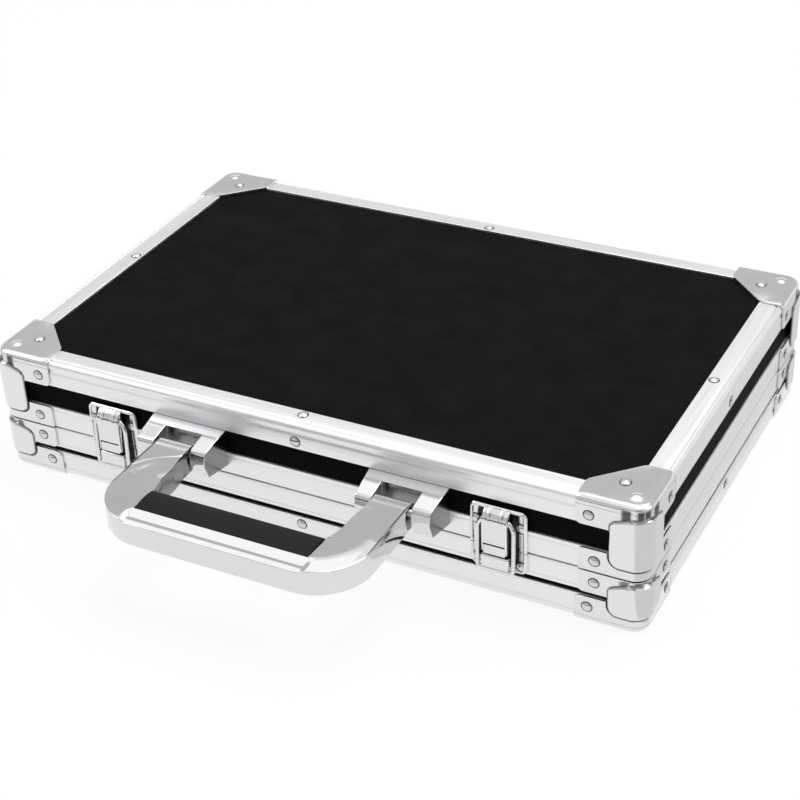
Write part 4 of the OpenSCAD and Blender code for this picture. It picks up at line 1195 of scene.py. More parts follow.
base_wrap_outline = rounded(mirrored([(wrap_u, PARTED, 0.0), (wrap_u, wrap_low, 2.4), (tongue_u, wrap_low, 1.2),
                                      (tongue_u, base_tongue_low, 6.0)]))
base_wrap_cuts = [0.5, 0.9, 1.4, 1.9, 2.6, 3.4] + spread(base_tongue_top - 2.2, base_tongue_top + 2.2, 0.38)
base_wrap_cuts += [base_lap_w - 0.1, base_lap_w] + spread(base_tongue_low - 2.6, base_tongue_low - 0.2, 0.4)
base_wrap_mesh = press_corner("base_wrap", base_wrap_outline, base_wrap_cuts, base_wrap_outer,
                              inner_skin(base_lap_w), None, base_wrap_shade_marks)
print("base cap, lid wrap, base wrap:", [len(m.polygons) for m in (base_cap_mesh, lid_wrap_mesh, base_wrap_mesh)])

# %% [markdown]
# The caps' bump is a small dome with a soft foot, struck into the plate near the corner. It is turned as a
# lathe would and set in the cap's own mesh. Each corner is then put in its place: a mirror image where it
# must be, with its normals made to point outwards again, and a fine bevel where the sheet was sheared.

# %% Put the corners in place
BUMP_AT = 8.0
bump_outline = [(0, 0.9), (0.5, 0.88), (1.0, 0.80), (1.5, 0.66), (2.0, 0.47), (2.4, 0.29), (2.8, 0.14), (3.2, 0.05),
                (3.7, 0.012), (4.0, -0.02), (3.6, -0.10), (0, -0.12)]
bump_mesh = lathe("bump", bump_outline, 36)


def stand_corner(name, source, side, back, upside_down, top_z, body, *stands_for):
    """One of the case's corners from its pressed mesh. Only the lid's caps have the bump."""
    work = bmesh.new()
    work.from_mesh(source)
    if source is lid_cap_mesh:
        extra = bump_mesh.copy()
        extra.transform(Matrix.Translation((BUMP_AT, BUMP_AT, CAP_T)))
        work.from_mesh(extra)
        bpy.data.meshes.remove(extra)
    for v in work.verts:
        a, b, h = v.co
        v.co = (side * (HALF_W - a * MM), (BACK_Y - b * MM) if back else (FRONT_Y + b * MM),
                top_z + (-h if upside_down else h) * MM)
    done = soften(name, mesh_of(work, name), 0.22, 48, 2, 40)
    return add_piece(name, done, body, "corner", corner_plate, *stands_for)


KINDS = (("cap", "lid", lid_cap_mesh, False, TOP_Z), ("cap", "base", base_cap_mesh, True, FLOOR_Z),
         ("wrap", "lid", lid_wrap_mesh, False, rim_high.z), ("wrap", "base", base_wrap_mesh, False, base_rim_high.z))
corners = []
for back in (False, True):
    for side, tail in SIDES:
        label = ("back_" if back else "front_") + tail
        for kind, body, source, upside_down, height in KINDS:
            corners.append(stand_corner(f"{kind}_{body}_{label}", source, side, back, upside_down, height, body,
                                        f"{body}_{kind}_{label}"))
print("corners:", len(corners), "pieces, faces", sum(len(c.data.polygons) for c in corners))

# %% [markdown]
# ### The handle
# The handle is one casting. A flat strap comes out of each bracket, and from a curved step on it the arm swells
# into a crowned leaf that runs round the corner to the grip. Along the grip's front a sloping flange and a flat
# groove catch the light in two bright lines, and the black pad lies behind them. All of that is the height of one
# top surface over one plan outline. So the plan is drawn, cut into small cells, and every point is lifted by a
# function of its place, with the distance to both edges giving the crown.

# %% The handle's plan
frame_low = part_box("handle_frame")[0]
pad_low, pad_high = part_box("handle_pad")
pin_low, pin_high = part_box("handle_pins")
AXIS_Y, AXIS_Z = (pin_low.y + pin_high.y) / 2 / MM, (pin_low.z + pin_high.z) / 2 / MM
GRIP_FRONT, GRIP_BACK = frame_low.y / MM, pad_high.y / MM + 2.4
ARM_X, ARM_OUT, HANDLE_R = 58.0, 66.2, 26.0
TOP, LOW, STRAP, HEEL_R, HEEL_OUT = 5.0, -8.5, 4.0, 6.0, 5.0
STRAP_IN = 47.9
PAD_X, PAD_FRONT, PAD_CROWN, PAD_PEAK, PAD_ROUND = pad_high.x / MM + 0.4, pad_low.y / MM, 1.0, 7.6, 3.6
LEAF_EDGE, LEAF_CROWN, FLANGE_H, FLANGE_SLOPE, PAD_SLOPE = 3.76, 1.24, 2.85, 0.28, 0.36
GROOVE_FRONT, GROOVE_BACK, PAD_SEAT = 2.4, 4.5, 6.0
arm_end = AXIS_Y + HEEL_OUT

inner_side = [(STRAP_IN, arm_end, 0), (STRAP_IN, AXIS_Y - 8.2, 6.0), (46.6, AXIS_Y - 16.5, 9.0),
              (46.3, AXIS_Y - 27.0, 10.0), (PAD_X + 0.4, GRIP_BACK, 1.5)]
right_half = [(ARM_OUT, GRIP_FRONT, HANDLE_R), (ARM_OUT, arm_end, 0)] + inner_side
handle_plan = rounded(mirrored(right_half), steps=14)


def polyline_tree(points, step=0.25):
    """A search tree of points laid closely along a line, to measure distances to it."""
    dense = []
    for a, b in zip(points, points[1:]):
        count = max(1, int((b - a).length / step))
        dense += [a.lerp(b, k / count) for k in range(count)]
    dense.append(points[-1])
    tree = KDTree(len(dense))
    for k, p in enumerate(dense):
        tree.insert((p.x, p.y, 0), k)
    tree.balance()
    return tree


outer_half = rounded([(0, GRIP_FRONT, 0), (ARM_OUT, GRIP_FRONT, HANDLE_R), (ARM_OUT, arm_end, 0)], 24)
inner_half = rounded([(0, GRIP_BACK, 0)] + inner_side[::-1], 10)
outer_edge, inner_edge = polyline_tree(outer_half), polyline_tree(inner_half)
print("handle plan:", len(handle_plan), "points; grip from", round(GRIP_FRONT, 2), "to", round(GRIP_BACK, 2))

# %% The height of its top


def crown(x, y):
    """1 on the middle line between both edges and 0 on the edges."""
    here = (abs(x), y, 0)
    out, into = outer_edge.find(here)[2], inner_edge.find(here)[2]
    across = out / max(out + into, 1e-6)
    return 1 - (2 * across - 1) ** 2


def flange_line(y):
    """The section along the grip's front: a sloping flange, a flat groove, and the slope up to the pad."""
    forward = y - GRIP_FRONT
    return FLANGE_H + FLANGE_SLOPE * min(forward, GROOVE_FRONT) + PAD_SLOPE * max(0.0, forward - GROOVE_BACK)


def pad_section(y):
    """The pad's crown, from its front edge over the middle and round the back edge."""
    behind = y - PAD_FRONT
    rise = TOP + PAD_CROWN - ((behind - PAD_PEAK) / PAD_PEAK) ** 2
    fall = behind - (GRIP_BACK - PAD_FRONT - PAD_ROUND)
    return rise if fall <= 0 else rise - (PAD_ROUND - math.sqrt(max(0.0, PAD_ROUND ** 2 - fall ** 2)))


CREASE = [(STRAP_IN, -7.45), (54.0, -10.85), (57.5, -13.15), (61.5, -16.75), (64.6, -20.95), (66.0, -24.45),
          (ARM_OUT + 0.2, -26.0)]


def crease_y(reach):
    """Where the flat strap steps down to the leaf: a slanting line that bends round to the outer edge."""
    for (x0, y0), (x1, y1) in zip(CREASE, CREASE[1:]):
        if reach <= x1:
            return AXIS_Y + y0 + (y1 - y0) * max(0.0, reach - x0) / (x1 - x0)
    return AXIS_Y + CREASE[-1][1]


def heel_top(y):
    """The strap's top, rounded down behind the axis."""
    back = y - AXIS_Y - 1.0
    return STRAP if back <= 0 else math.sqrt(max(0.01, STRAP ** 2 - back ** 2))


def frame_top(x, y):
    reach = abs(x)
    if reach > STRAP_IN - 8 and y > AXIS_Y - 29:
        before = crease_y(reach) - y
        leaf = LEAF_EDGE + crown(x, y) * (0.10 + 1.14 * smooth_step(0.0, 17.0, before))
        return leaf + (heel_top(y) - leaf) * smooth_step(-0.55, 0.55, -before)
    leaf = LEAF_EDGE + LEAF_CROWN * crown(x, y)
    grip = 1 - smooth_step(PAD_X + 0.2, PAD_X + 3.2, reach)
    front = 1 - smooth_step(PAD_FRONT - 0.2, PAD_FRONT + 3.0, y)
    if grip > 0 and y < PAD_FRONT + 3.0:
        leaf = leaf + (flange_line(min(y, PAD_FRONT)) - leaf) * grip * front
    if reach < PAD_X + 0.06 and y > PAD_FRONT - 0.06:
        return TOP - PAD_SEAT
    return leaf


def frame_under(y):
    back = (y - AXIS_Y) / HEEL_OUT
    return LOW if back <= 0 else -HEEL_R * math.sqrt(max(0.0003, 1 - back ** 2))


x_cuts = spread(0, PAD_X - 0.5, 6.0) + [PAD_X, PAD_X + 0.15] + spread(PAD_X + 0.6, ARM_OUT - 0.4, 0.48)
y_cuts = spread(GRIP_FRONT + 0.45, PAD_FRONT - 0.45, 0.36) + [PAD_FRONT - 0.15, PAD_FRONT]
y_cuts += spread(PAD_FRONT + 0.6, AXIS_Y - 29.0, 0.85) + spread(AXIS_Y - 28.5, AXIS_Y - 7.0, 0.36)
y_cuts += [AXIS_Y - 4.0, AXIS_Y] + [AXIS_Y + 1.0 + 4.0 * math.sin(math.radians(a)) for a in range(0, 90, 9)]
print("handle cut at", 2 * len(x_cuts) - 1, "by", len(y_cuts), "lines")

# %% Lift it


def clear_rim(plan, reach):
    """Dissolves the plan's inner points that lie nearer to its outline than reach, to leave room for a bevel."""
    edges = [[v.co.copy() for v in e.verts] for e in plan.edges if len(e.link_faces) == 1]
    corners = [p for a, b in edges for p in (a, b, (a + b) / 2 + Vector((0, 0, 1e-5)))]
    rim = BVHTree.FromPolygons(corners, [(3 * k, 3 * k + 1, 3 * k + 2) for k in range(len(edges))])
    near = [v for v in plan.verts if not v.is_boundary and rim.find_nearest(v.co)[3] < reach]
    bmesh.ops.dissolve_verts(plan, verts=near)
    plan.verts.index_update()


def raise_plan(name, outline, xs, ys, top, under, place, room=0.0):
    """A closed body over a plan: top and under give its two heights, and place lays it into the model."""
    plan = cut_blank(outline, sorted(set(xs + [-x for x in xs])), ys)
    if room:
        clear_rim(plan, room)
    work = bmesh.new()
    upper = {v.index: work.verts.new((v.co.x, v.co.y, top(v.co.x, v.co.y))) for v in plan.verts}
    lower = {v.index: work.verts.new((v.co.x, v.co.y, under(v.co.y))) for v in plan.verts}
    for f in plan.faces:
        ids = [v.index for v in f.verts]
        work.faces.new([upper[i] for i in ids])
        work.faces.new([lower[i] for i in reversed(ids)])
    for e in plan.edges:
        if len(e.link_faces) == 1:
            a, b = e.verts[0].index, e.verts[1].index
            work.faces.new([upper[a], upper[b], lower[b], lower[a]])
    plan.free()
    for v in work.verts:
        v.co = [MM * value for value in place(v.co.x, v.co.y, v.co.z)]
    return mesh_of(work, name)


def shade_flanks(mesh, inside):
    """Gives the grey plate, painted shade and dark reflection, to the faces for which inside(middle, normal) holds.
    """
    wear(mesh, handle_plate)
    mesh.materials.append(shaded_flank_plate)
    for polygon in mesh.polygons:
        polygon.material_index = int(inside(polygon.center / MM, polygon.normal))


def on_axis(x, y, height):
    """Heights on the handle are counted from its axis."""
    return x, y, AXIS_Z + height


frame_mesh = raise_plan("handle_casting", handle_plan, x_cuts, y_cuts, frame_top, frame_under, on_axis, 0.4)
frame_mesh = soften("handle_casting", frame_mesh, 0.2, 55, 3, 30, False)
# The arms' inner flanks get the grey plate: painted shade and dark reflection.
shade_flanks(frame_mesh, lambda at, n: abs(n.x) > 0.55 and at.x * n.x < 0 and abs(at.x) > PAD_X + 0.1)
handle_casting = add_piece("handle_casting", frame_mesh, "handle", "handle", None, "handle_frame")
pad_plan = rounded([(PAD_X - 0.05, PAD_FRONT + 0.04, 0.3), (PAD_X - 0.05, GRIP_BACK, 0.3),
                    (-PAD_X + 0.05, GRIP_BACK, 0.3), (-PAD_X + 0.05, PAD_FRONT + 0.04, 0.3)], 3)
pad_ys = spread(PAD_FRONT + 0.5, GRIP_BACK - PAD_ROUND, 0.9)
pad_ys += [GRIP_BACK - PAD_ROUND * (1 - math.sin(math.radians(a))) for a in range(10, 90, 10)]
pad_mesh = raise_plan("grip_pad", pad_plan, spread(0, PAD_X - 0.5, 3.0), pad_ys, lambda x, y: pad_section(y),
                      lambda y: TOP - PAD_SEAT + 0.02, on_axis)
pad_mesh = soften("grip_pad", pad_mesh, 0.25, 60)
for v in pad_mesh.vertices:
    v.co.x = max(-PAD_X * MM, min(PAD_X * MM, v.co.x))
grip_pad = add_piece("grip_pad", pad_mesh, "handle", "grip", rubber, "handle_pad")
print("handle:", len(handle_casting.data.polygons), "faces, pad", len(grip_pad.data.polygons))

# %% [markdown]
# ### The brackets
# Two blocks carry the handle. From the side each is a sloping top, a rounded nose and a bottom that draws back to
# the case. From above it is a fork: the handle's arm turns in the notch between its prongs. A block like this is
# milled or cast in one outline and then slotted, so here too: the outline is drawn, extruded from one side to the
# other, its edges are broken, and the notch is cut out with a Boolean modifier.

# %% Blocks from a side outline


def block_from(name, outline, half_width, place):
    """A body from its side outline (out from the case, up), drawn from side to side; half_width may taper."""
    work = bmesh.new()
    ends = [[work.verts.new([MM * c for c in place(s * half_width(p.x), p.x, p.y)]) for p in outline]
            for s in (-1, 1)]
    work.faces.new(ends[0])
    work.faces.new(list(reversed(ends[1])))
    for k in range(len(outline)):
        n = (k + 1) % len(outline)
        work.faces.new([ends[0][n], ends[0][k], ends[1][k], ends[1][n]])
    return mesh_of(work, name)


def carve(name, mesh, cutter):
    """What is left of a mesh once the cutter is taken out of it."""
    body, tool = put_in_scene(name + "_body", mesh), put_in_scene(name + "_tool", cutter)
    cut = body.modifiers.new("slot", "BOOLEAN")
    cut.operation = "DIFFERENCE"
    cut.solver = "EXACT"
    cut.object = tool
    done = settle(body, name)
    bpy.data.objects.remove(tool)
    return done


def in_front(centre):
    """Lays a point beside a centre, out from the case's front and up into the model."""
    return lambda across, out, up: (centre + across, FRONT_Y / MM - out, up)


print("block helpers ready")

# %% The two brackets
BRACKET_HALF, NOSE_HALF, NOSE_OUT = 20.0, 18.7, 18.1
NOTCH_IN, NOTCH_OUT, NOTCH_BACK = -10.8, 9.6, 5.5
bracket_side = rounded([(0, 33.6, 0), (15.3, 35.6, 1.6), (NOSE_OUT, 43.4, 5.0), (16.6, 49.6, 3.2),
                        (0, 52.75, 0), (-1.15, 52.65, 0), (-1.15, 40.95, 0), (0, 40.95, 0)], 10)


def bracket_taper(out):
    return BRACKET_HALF - (BRACKET_HALF - NOSE_HALF) * max(0.0, out) / NOSE_OUT


def build_bracket(side, tail):
    name = "bracket_body_" + tail
    centre = side * ARM_X
    block = soften(name, block_from(name, bracket_side, bracket_taper, in_front(centre)), 0.4, 50, 3, 9)
    across = sorted((side * NOTCH_IN, side * NOTCH_OUT))
    notch = [Vector(p) for p in ((NOTCH_BACK, 20), (40, 20), (40, 60), (NOTCH_BACK, 60))]
    middle, half = sum(across) / 2, (across[1] - across[0]) / 2
    cutter = block_from(name + "_notch", notch, lambda out: half, in_front(centre + middle))
    mesh = carve(name, block, cutter)
    mesh = soften(name, mesh, 0.22, 62, 2, 9)
    flat = put_in_scene(name + "_flat", mesh)
    flat.modifiers.new("flat_faces", "WEIGHTED_NORMAL").keep_sharp = True
    mesh = settle(flat, name)
    back_wall = FRONT_Y / MM - NOTCH_BACK
    # The bracket's sides and the notch's back wall get the grey plate: painted shade and dark reflection.
    shade_flanks(mesh, lambda at, n: abs(n.x) > 0.8 or (n.y < -0.8 and abs(at.y - back_wall) < 0.5))
    return add_piece(name, mesh, "lid", "handle", None, "bracket_" + tail)


brackets = [build_bracket(side, tail) for side, tail in SIDES]
print("brackets:", [len(b.data.polygons) for b in brackets], "faces")

# %% [markdown]
# ### The latches
# Each latch is five pressed parts. A plate is riveted to the lid: its rim is rolled up and the ground round the
# lever is sunk. The lever is folded from one sheet: a flat face, a curl at the top with two short ribs in it, and
# two cheeks that hold the pin. Under it the plate's fixed knuckle shows as a flat strip. A second plate is riveted
# to the base with a hooked cover, and a wire bail runs from the lever's cheeks down both sides and under the hook.
# The plates are relief over a plan, so they are raised like the handle. The folded parts are blocks with the
# inside carved out, and the bail is a round wire along a bent line.

# %% Plates with a rolled rim
upper_low, upper_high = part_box("latch_plate_right")
lower_low, lower_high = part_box("keeper_right")
LATCH_X = (upper_low.x + upper_high.x) / 2 / MM
LATCH_HALF = (upper_high.x - upper_low.x) / 2 / MM
UPPER_Z = (rim_low.z / MM, upper_high.z / MM)
LOWER_Z = (lower_low.z / MM, lower_high.z / MM)
GROUND, LAND, RIM_LOW, RIM_TOP, GROUND_HALF = 0.35, 0.92, 0.85, 1.65, 10.3


def plate_relief(tree):
    """The height over the plate's plan: rolled rim along the tree's line, a flat land, and the sunk ground."""
    def height(x, z):
        rim = tree.find((x, z, 0))[2]
        roll = RIM_LOW + (RIM_TOP - RIM_LOW) * math.sin(math.pi / 2 * min(1.0, rim / 0.75))
        land = LAND + (roll - LAND) * (1 - smooth_step(1.3, 2.0, rim))
        sunk = (1 - smooth_step(GROUND_HALF - 1.1, GROUND_HALF, abs(x))) * smooth_step(1.6, 2.3, rim)
        return land + (GROUND - land) * sunk
    return height


def build_plate(low, high, round_top):
    """A latch plate about x 0, rounded at its top or its bottom corners: its outline, cuts and relief."""
    far, near = (high, low) if round_top else (low, high)
    corners = [(-LATCH_HALF, near, 0), (-LATCH_HALF, far, 3.0), (LATCH_HALF, far, 3.0), (LATCH_HALF, near, 0)]
    line = rounded(corners, 8)
    outline = line if not round_top else list(reversed(line))
    relief = plate_relief(polyline_tree(line, 0.1))
    xs = [0.0, 3.0, 6.0, 8.0] + spread(9.1, 10.5, 0.28) + spread(11.4, LATCH_HALF - 0.12, 0.25)
    zs = spread(low + 2.6, high - 2.6, 2.2) + (spread(high - 2.5, high - 0.1, 0.25) if round_top else
                                               spread(low + 0.1, low + 2.5, 0.25))
    return outline, xs, zs, relief


def join_meshes(name, meshes):
    work = bmesh.new()
    for mesh in meshes:
        work.from_mesh(mesh)
    whole = mesh_of(work, name, False)
    shade(whole, 30)
    return whole


def shade_ground(mesh):
    """Puts the near-black plate, painted shade, on the sunk ground of a plate, and the bright one elsewhere."""
    wear(mesh, latch_plate_finish)
    mesh.materials.append(latch_shaded_ground)
    sunk = FRONT_Y - (GROUND + 0.34) * MM
    for polygon in mesh.polygons:
        depths = [mesh.vertices[i].co.y for i in polygon.vertices]
        polygon.material_index = int(min(depths) > sunk and polygon.normal.y < -0.2)


def build_face(name, body, node, centre, span, round_top, part, block):
    """A riveted plate with a fixed block on it: the knuckle's flat strip, or the hooked cover."""
    low, high, reach, half, bevel = block
    outline, xs, zs, relief = build_plate(*span, round_top)
    plate = raise_plan(name, outline, xs, zs, relief, lambda z: 0.0, lambda x, z, h: in_front(centre)(x, h, z))
    side_outline = [Vector(p) for p in ((0.2, low), (reach, low), (reach, high), (0.2, high))]
    block = soften(part, block_from(part, side_outline, lambda out: half, in_front(centre)), *bevel)
    whole = join_meshes(name, [plate, block])
    shade_ground(whole)
    add_piece(name, whole, body, "latch", None, node)


# Each block's low and high level, its reach, half its width, and how its edges are broken.
STRIP, COVER = (27.6, 32.3, 6.05, 5.2, (0.12, 50)), (19.7, 26.4, 6.0, 6.8, (0.8, 50, 4))
for side, tail in SIDES:
    build_face("latch_face_" + tail, "lid", "latch_plate_" + tail, side * LATCH_X, UPPER_Z, True,
               "strip_" + tail, STRIP)
    build_face("latch_hook_" + tail, "base", "keeper_" + tail, side * LATCH_X, LOWER_Z, False,
               "cover_" + tail, COVER)
print("latch plates at", round(LATCH_X, 2), "mm from the middle, each", round(2 * LATCH_HALF, 2), "wide")

# %% The levers
LEVER_HALF, LEVER_T, FACE_OUT, CURL_Z, CURL_R = 6.15, 0.9, 6.25, 43.3, 7.3
LEVER_TOP_OUT = 1.6


def curl(radius, stop_out, count=12):
    """Points on the lever's curl, from the face up and back to stop_out."""
    middle = FACE_OUT - CURL_R
    last = math.acos((stop_out - middle) / radius)
    return [Vector((middle + radius * math.cos(last * k / count), CURL_Z + radius * math.sin(last * k / count)))
            for k in range(count + 1)]


def lever_outline():
    foot = rounded([(1.6, 40.0, 0), (1.6, 27.6, 1.9), (FACE_OUT, 27.6, 2.3), (FACE_OUT, CURL_Z, 0)], 8)
    return foot[:-1] + curl(CURL_R, LEVER_TOP_OUT)


def lever_hollow():
    inner = curl(CURL_R - LEVER_T, -0.6)
    return [Vector(p) for p in ((-1, 20), (9, 20), (9, 33.3), (FACE_OUT - LEVER_T, 33.3))] + inner + [
        Vector((-1, inner[-1].y))]


def lever_rib(at):
    """A pressed rib: it starts rounded on the flat face and runs up over the curl."""
    stations = [Vector((FACE_OUT, 40.7 + 0.25 * k)) for k in range(11)] + curl(CURL_R, 1.9, 14)[1:]
    work = bmesh.new()
    rings = []
    for k, p in enumerate(stations):
        angle = max(0.0, math.asin(min(1.0, max(0.0, p.y - CURL_Z) / CURL_R)))
        outward = Vector((math.cos(angle), math.sin(angle)))
        grow = math.sqrt(max(0.02, 1 - max(0.0, 1 - (k + 0.15) / 4) ** 2))
        ring = []
        for m in range(9):
            turn = math.pi * m / 8
            across, rise = 1.05 * grow * math.cos(turn), 0.42 * grow * math.sin(turn) - 0.06
            place = p + outward * rise
            ring.append(work.verts.new((at + across, place.x, place.y)))
        rings.append(ring)
    for a, b in zip(rings, rings[1:]):
        for m in range(8):
            work.faces.new([a[m], a[m + 1], b[m + 1], b[m]])
        work.faces.new([a[8], a[0], b[0], b[8]])
    work.faces.new(rings[0])
    work.faces.new(rings[-1])
    return mesh_of(work, "rib")


def rib_spacing(mesh):
    """How far the ribs stand from the lever's middle, from the two points of the photograph."""
    work = bmesh.new()
    work.from_mesh(mesh)
    tree = BVHTree.FromBMesh(work)
    work.free()
    seen = [onto(IMAGE_POINTS[name], tree) for name in ("lever_rib_left", "lever_rib_right")]
    return max(2.4, min(3.6, (seen[1].x - seen[0].x) / 2 / MM))


def build_lever(side, tail, rib_at):
    place = in_front(side * LATCH_X)
    body = block_from("lever", lever_outline(), lambda out: LEVER_HALF, place)
    body = soften("lever", body, 0.6, 50, 4)
    hollow = block_from("lever_inside", lever_hollow(), lambda out: LEVER_HALF - LEVER_T, place)
    body = carve("lever", body, hollow)
    rib_at = rib_at or rib_spacing(body)
    ribs = [lever_rib(at) for at in (-rib_at, rib_at)]
    for rib in ribs:
        for v in rib.vertices:
            v.co = [MM * c for c in place(v.co.x, v.co.y, v.co.z)]
        turn_outward(rib)
    name = "lever_" + tail
    return add_piece(name, join_meshes(name, [body] + ribs), "latch_lever_" + tail, "latch", latch_plate_finish,
                     "latch_lever_" + tail), rib_at


rib_at = None
for side, tail in SIDES[::-1]:
    lever, rib_at = build_lever(side, tail, rib_at)
print("levers:", len(lever.data.polygons), "faces each, ribs", round(rib_at, 2), "mm from the middle")

# %% The wire bails
BAIL_X, WIRE_R, BAIL_OUT, BAIL_Z = 8.65, 1.0, 4.9, 19.1


def soft_line(corners, step=0.6):
    """A bent line in space: each corner (place, radius) is replaced by a smooth bend."""
    line = [corners[0][0]]
    for before, (here, radius), after in zip(corners, corners[1:], corners[2:]):
        start, end = (here + (other[0] - here).normalized() * radius for other in (before, after))
        count = max(3, int(radius / step * 3))
        line += [(start * (1 - t) ** 2 + here * 2 * t * (1 - t) + end * t ** 2)
                 for t in (k / count for k in range(count + 1))]
    line.append(corners[-1][0])
    return line


def round_wire(name, line, radius, around=16):
    """A closed round wire along a line, from a curve with a round bevel."""
    curve = bpy.data.curves.new(name, "CURVE")
    curve.dimensions, curve.use_fill_caps = "3D", True
    curve.bevel_depth, curve.bevel_resolution = radius * MM, around // 4
    spline = curve.splines.new("POLY")
    spline.points.add(len(line) - 1)
    for point, place in zip(spline.points, line):
        point.co = (*[MM * c for c in place], 1)
    return turn_outward(settle(put_in_scene(name + "_line", curve), name), 1e-7)


def build_bail(side, tail):
    place = in_front(side * LATCH_X)
    half = [((5.5, 3.4, 44.9), 0), ((6.6, 3.5, 44.6), 0.7), ((BAIL_X, 4.1, 41.4), 1.8),
            ((BAIL_X, BAIL_OUT, BAIL_Z), 1.7)]
    corners = half + [((-x, out, up), r) for (x, out, up), r in reversed(half)]
    line = soft_line([(Vector(place(*p)), r) for p, r in corners])
    mesh = round_wire("bail_" + tail, line, WIRE_R)
    shade(mesh, 40)
    return add_piece("bail_" + tail, mesh, "latch_bail_" + tail, "latch", wire_plate, "latch_bail_" + tail)


bails = [build_bail(side, tail) for side, tail in SIDES]
print("bails:", [len(b.data.polygons) for b in bails], "faces")

# %% [markdown]
# ### The foam
# Both halves are lined with foam. The base holds a block with twenty-four pockets, one to a figure, cut with a
# hot wire and rounded a little where the wire turns. The lid holds egg-crate foam, whose bumps press the
# figures down. Foam like this isn't stuffed or sewn, so no cloth is simulated: each block is a height over its
# plan, with every free edge slumped to a soft round.

# %% The pocketed block in the base
tray_low, tray_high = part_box("base_foam")
POCKETS_X, POCKETS_Y, RIB, POCKET_FLOOR, SLUMP = 6, 4, 8.0, 4.0, 2.2
foam_mid = Vector(((tray_low.x + tray_high.x) / 2 / MM, (tray_low.y + tray_high.y) / 2 / MM))
foam_half = Vector(((tray_high.x - tray_low.x) / 2 / MM, (tray_high.y - tray_low.y) / 2 / MM))
TRAY_LOW, TRAY_HIGH = tray_low.z / MM, tray_high.z / MM
pocket_w = (2 * foam_half.x - (POCKETS_X + 1) * RIB) / POCKETS_X
pocket_d = (2 * foam_half.y - (POCKETS_Y + 1) * RIB) / POCKETS_Y


def box_distance(x, y, half_x, half_y, r):
    """Distance from a rounded box round the origin: below 0 inside it."""
    return beyond(abs(x) - (half_x - r), abs(y) - (half_y - r), r)


def to_cell(value, pitch, count):
    """How far a place lies from the middle of its cell, for count cells side by side about 0."""
    return value - (min(count - 1, max(0, math.floor(value / pitch + count / 2))) - (count - 1) / 2) * pitch


def slump(inside):
    """How far a soft edge has sunk at this distance from it."""
    left = max(0.0, SLUMP - max(0.0, inside))
    return SLUMP - math.sqrt(max(0.0, SLUMP ** 2 - left ** 2))


def tray_top(x, y):
    in_x, in_y = to_cell(x, pocket_w + RIB, POCKETS_X), to_cell(y, pocket_d + RIB, POCKETS_Y)
    pocket = box_distance(in_x, in_y, pocket_w / 2, pocket_d / 2, 4.0)
    rim = -box_distance(x, y, foam_half.x, foam_half.y, 2.0)
    height = TRAY_HIGH - 0.25 - slump(rim) - slump(pocket)
    depth = 1 - smooth_step(-0.9, 0.05, pocket)
    return height + (TRAY_LOW + POCKET_FLOOR + 0.25 - height) * depth


def cuts_of(half, pocket, pitch, count):
    """Cut lines close to every pocket's edge and the block's own, and a few between."""
    found = []
    for k in range(count):
        middle = (k - (count - 1) / 2) * pitch
        for side in (-1, 1):
            found += [middle + side * (pocket / 2 + d) for d in (-3.4, -2.0, -0.95, -0.45, 0.05, 0.5, 1.2, 2.2)]
        found.append(middle)
    for side in (-1, 1):
        found += [side * (half - d) for d in (0.35, 1.0, 2.2)]
    kept = sorted(found)
    return [c for c, after in zip(kept, kept[1:] + [kept[-1] + 1]) if after - c > 0.12]


xs = [x for x in cuts_of(foam_half.x, pocket_w, pocket_w + RIB, POCKETS_X) if x >= -1e-6]
ys = cuts_of(foam_half.y, pocket_d, pocket_d + RIB, POCKETS_Y)
foam_plan = [Vector((sx * foam_half.x, sy * foam_half.y)) for sx, sy in ((-1, -1), (1, -1), (1, 1), (-1, 1))]


def line_with_foam(name, body, stands_for, xs, ys, top, under):
    """A block of foam over the foam's plan, between the surface that shows and the level under it."""
    mesh = raise_plan(name, foam_plan, xs, ys, top, lambda y: under,
                      lambda x, y, z: (foam_mid.x + x, foam_mid.y + y, z))
    shade(mesh, 60)
    return add_piece(name, mesh, body, "foam", foam, stands_for)


base_tray = line_with_foam("base_tray", "base", "base_foam", xs, ys, tray_top, TRAY_LOW + 0.05)
print("tray:", len(base_tray.data.polygons), "faces, pockets", round(pocket_w, 1), "by", round(pocket_d, 1), "mm")

# %% The egg-crate in the lid
crate_low, crate_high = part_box("lid_foam")
CRATE_LOW, CRATE_HIGH, BUMPS_X, BUMPS_Y, BUMP_DEEP = crate_low.z / MM, crate_high.z / MM, 13, 8, 9.0
bump_x, bump_y = 2 * foam_half.x / BUMPS_X, 2 * foam_half.y / BUMPS_Y


def crate_under(x, y):
    wave = math.cos(2 * math.pi * to_cell(x, bump_x, BUMPS_X) / bump_x)
    wave *= math.cos(2 * math.pi * to_cell(y, bump_y, BUMPS_Y) / bump_y)
    rim = -box_distance(x, y, foam_half.x, foam_half.y, 2.0)
    return CRATE_LOW + 0.3 + BUMP_DEEP * (0.5 - 0.5 * wave) + slump(rim)


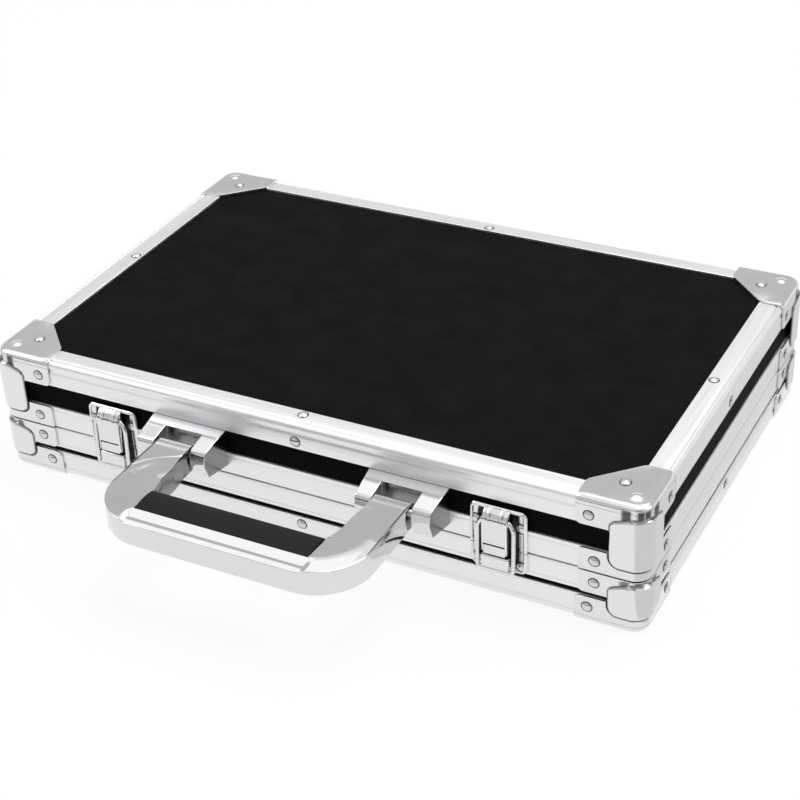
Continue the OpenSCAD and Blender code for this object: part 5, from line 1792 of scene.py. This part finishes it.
xs = spread(0, foam_half.x - 2.4, bump_x / 10) + [foam_half.x - d for d in (1.6, 0.8, 0.3)]
ys = spread(-foam_half.y + 2.4, foam_half.y - 2.4, bump_y / 10)
ys += [side * (foam_half.y - d) for side in (-1, 1) for d in (1.6, 0.8, 0.3)]
lid_egg_crate = line_with_foam("lid_egg_crate", "lid", "lid_foam", xs, ys, crate_under, CRATE_HIGH - 0.05)
print("egg crate:", len(lid_egg_crate.data.polygons), "faces,", BUMPS_X, "by", BUMPS_Y, "bumps")

# %% [markdown]
# ## Where the photograph's points show
# The four edges are looked up among the vertices that the camera can see, and each rivet's point is matched to
# the middle of the nearest dome. Nothing stops on it.

# %% Where each point shows
pieces = [o for o in scene.objects if o.type == "MESH" and not o.hide_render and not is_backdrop(o)]
sight = bmesh.new()
for piece in pieces:
    sight.from_mesh(piece.data)
seen_tree = BVHTree.FromBMesh(sight)
eye = camera.matrix_world.translation.copy()


def shows(point):
    """Whether nothing stands between the camera and a point of a surface."""
    way = point - eye
    hit = seen_tree.ray_cast(eye, way.normalized())
    return hit[0] is None or hit[3] > way.length - 0.0004


shown = [seen_at(v.co) for v in sight.verts]
order = {"left_x": min, "right_x": max, "top_y": min, "bottom_y": max}
for label, pick in order.items():
    axis = 0 if label.endswith("x") else 1
    extreme = sorted(range(len(shown)), key=lambda k: shown[k][axis], reverse=pick is max)
    sight.verts.ensure_lookup_table()
    found = next(k for k in extreme[:4000] if shows(sight.verts[k].co))
domes = [seen_at(seat + axis * (HEAD_H / 2 * MM)) for seat, axis in lid_seats + base_seats]
for label, point in IMAGE_POINTS.items():
    if label.endswith("rivet"):
        min(domes, key=lambda d: math.dist(d, point))
latch_front = in_front(LATCH_X)
notch_mid = (NOTCH_IN + NOTCH_OUT) / 2
RIB_LOOK_Z, NOTCH_LOOK_Z = 44.6, 51.6
for side, tail in SIDES:
    for label, spot in (("lever_rib_" + tail, latch_front(side * rib_at, FACE_OUT, RIB_LOOK_Z)),
                        (tail + "_notch", in_front(side * ARM_X)(side * notch_mid, NOTCH_BACK, NOTCH_LOOK_Z)),
                        ("grip_front_" + tail, on_axis(side * PAD_X, PAD_FRONT, pad_section(PAD_FRONT)))):
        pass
for label, point in IMAGE_POINTS.items():
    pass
sight.free()

# %% [markdown]
# ## The end

# %% The end
print("done")
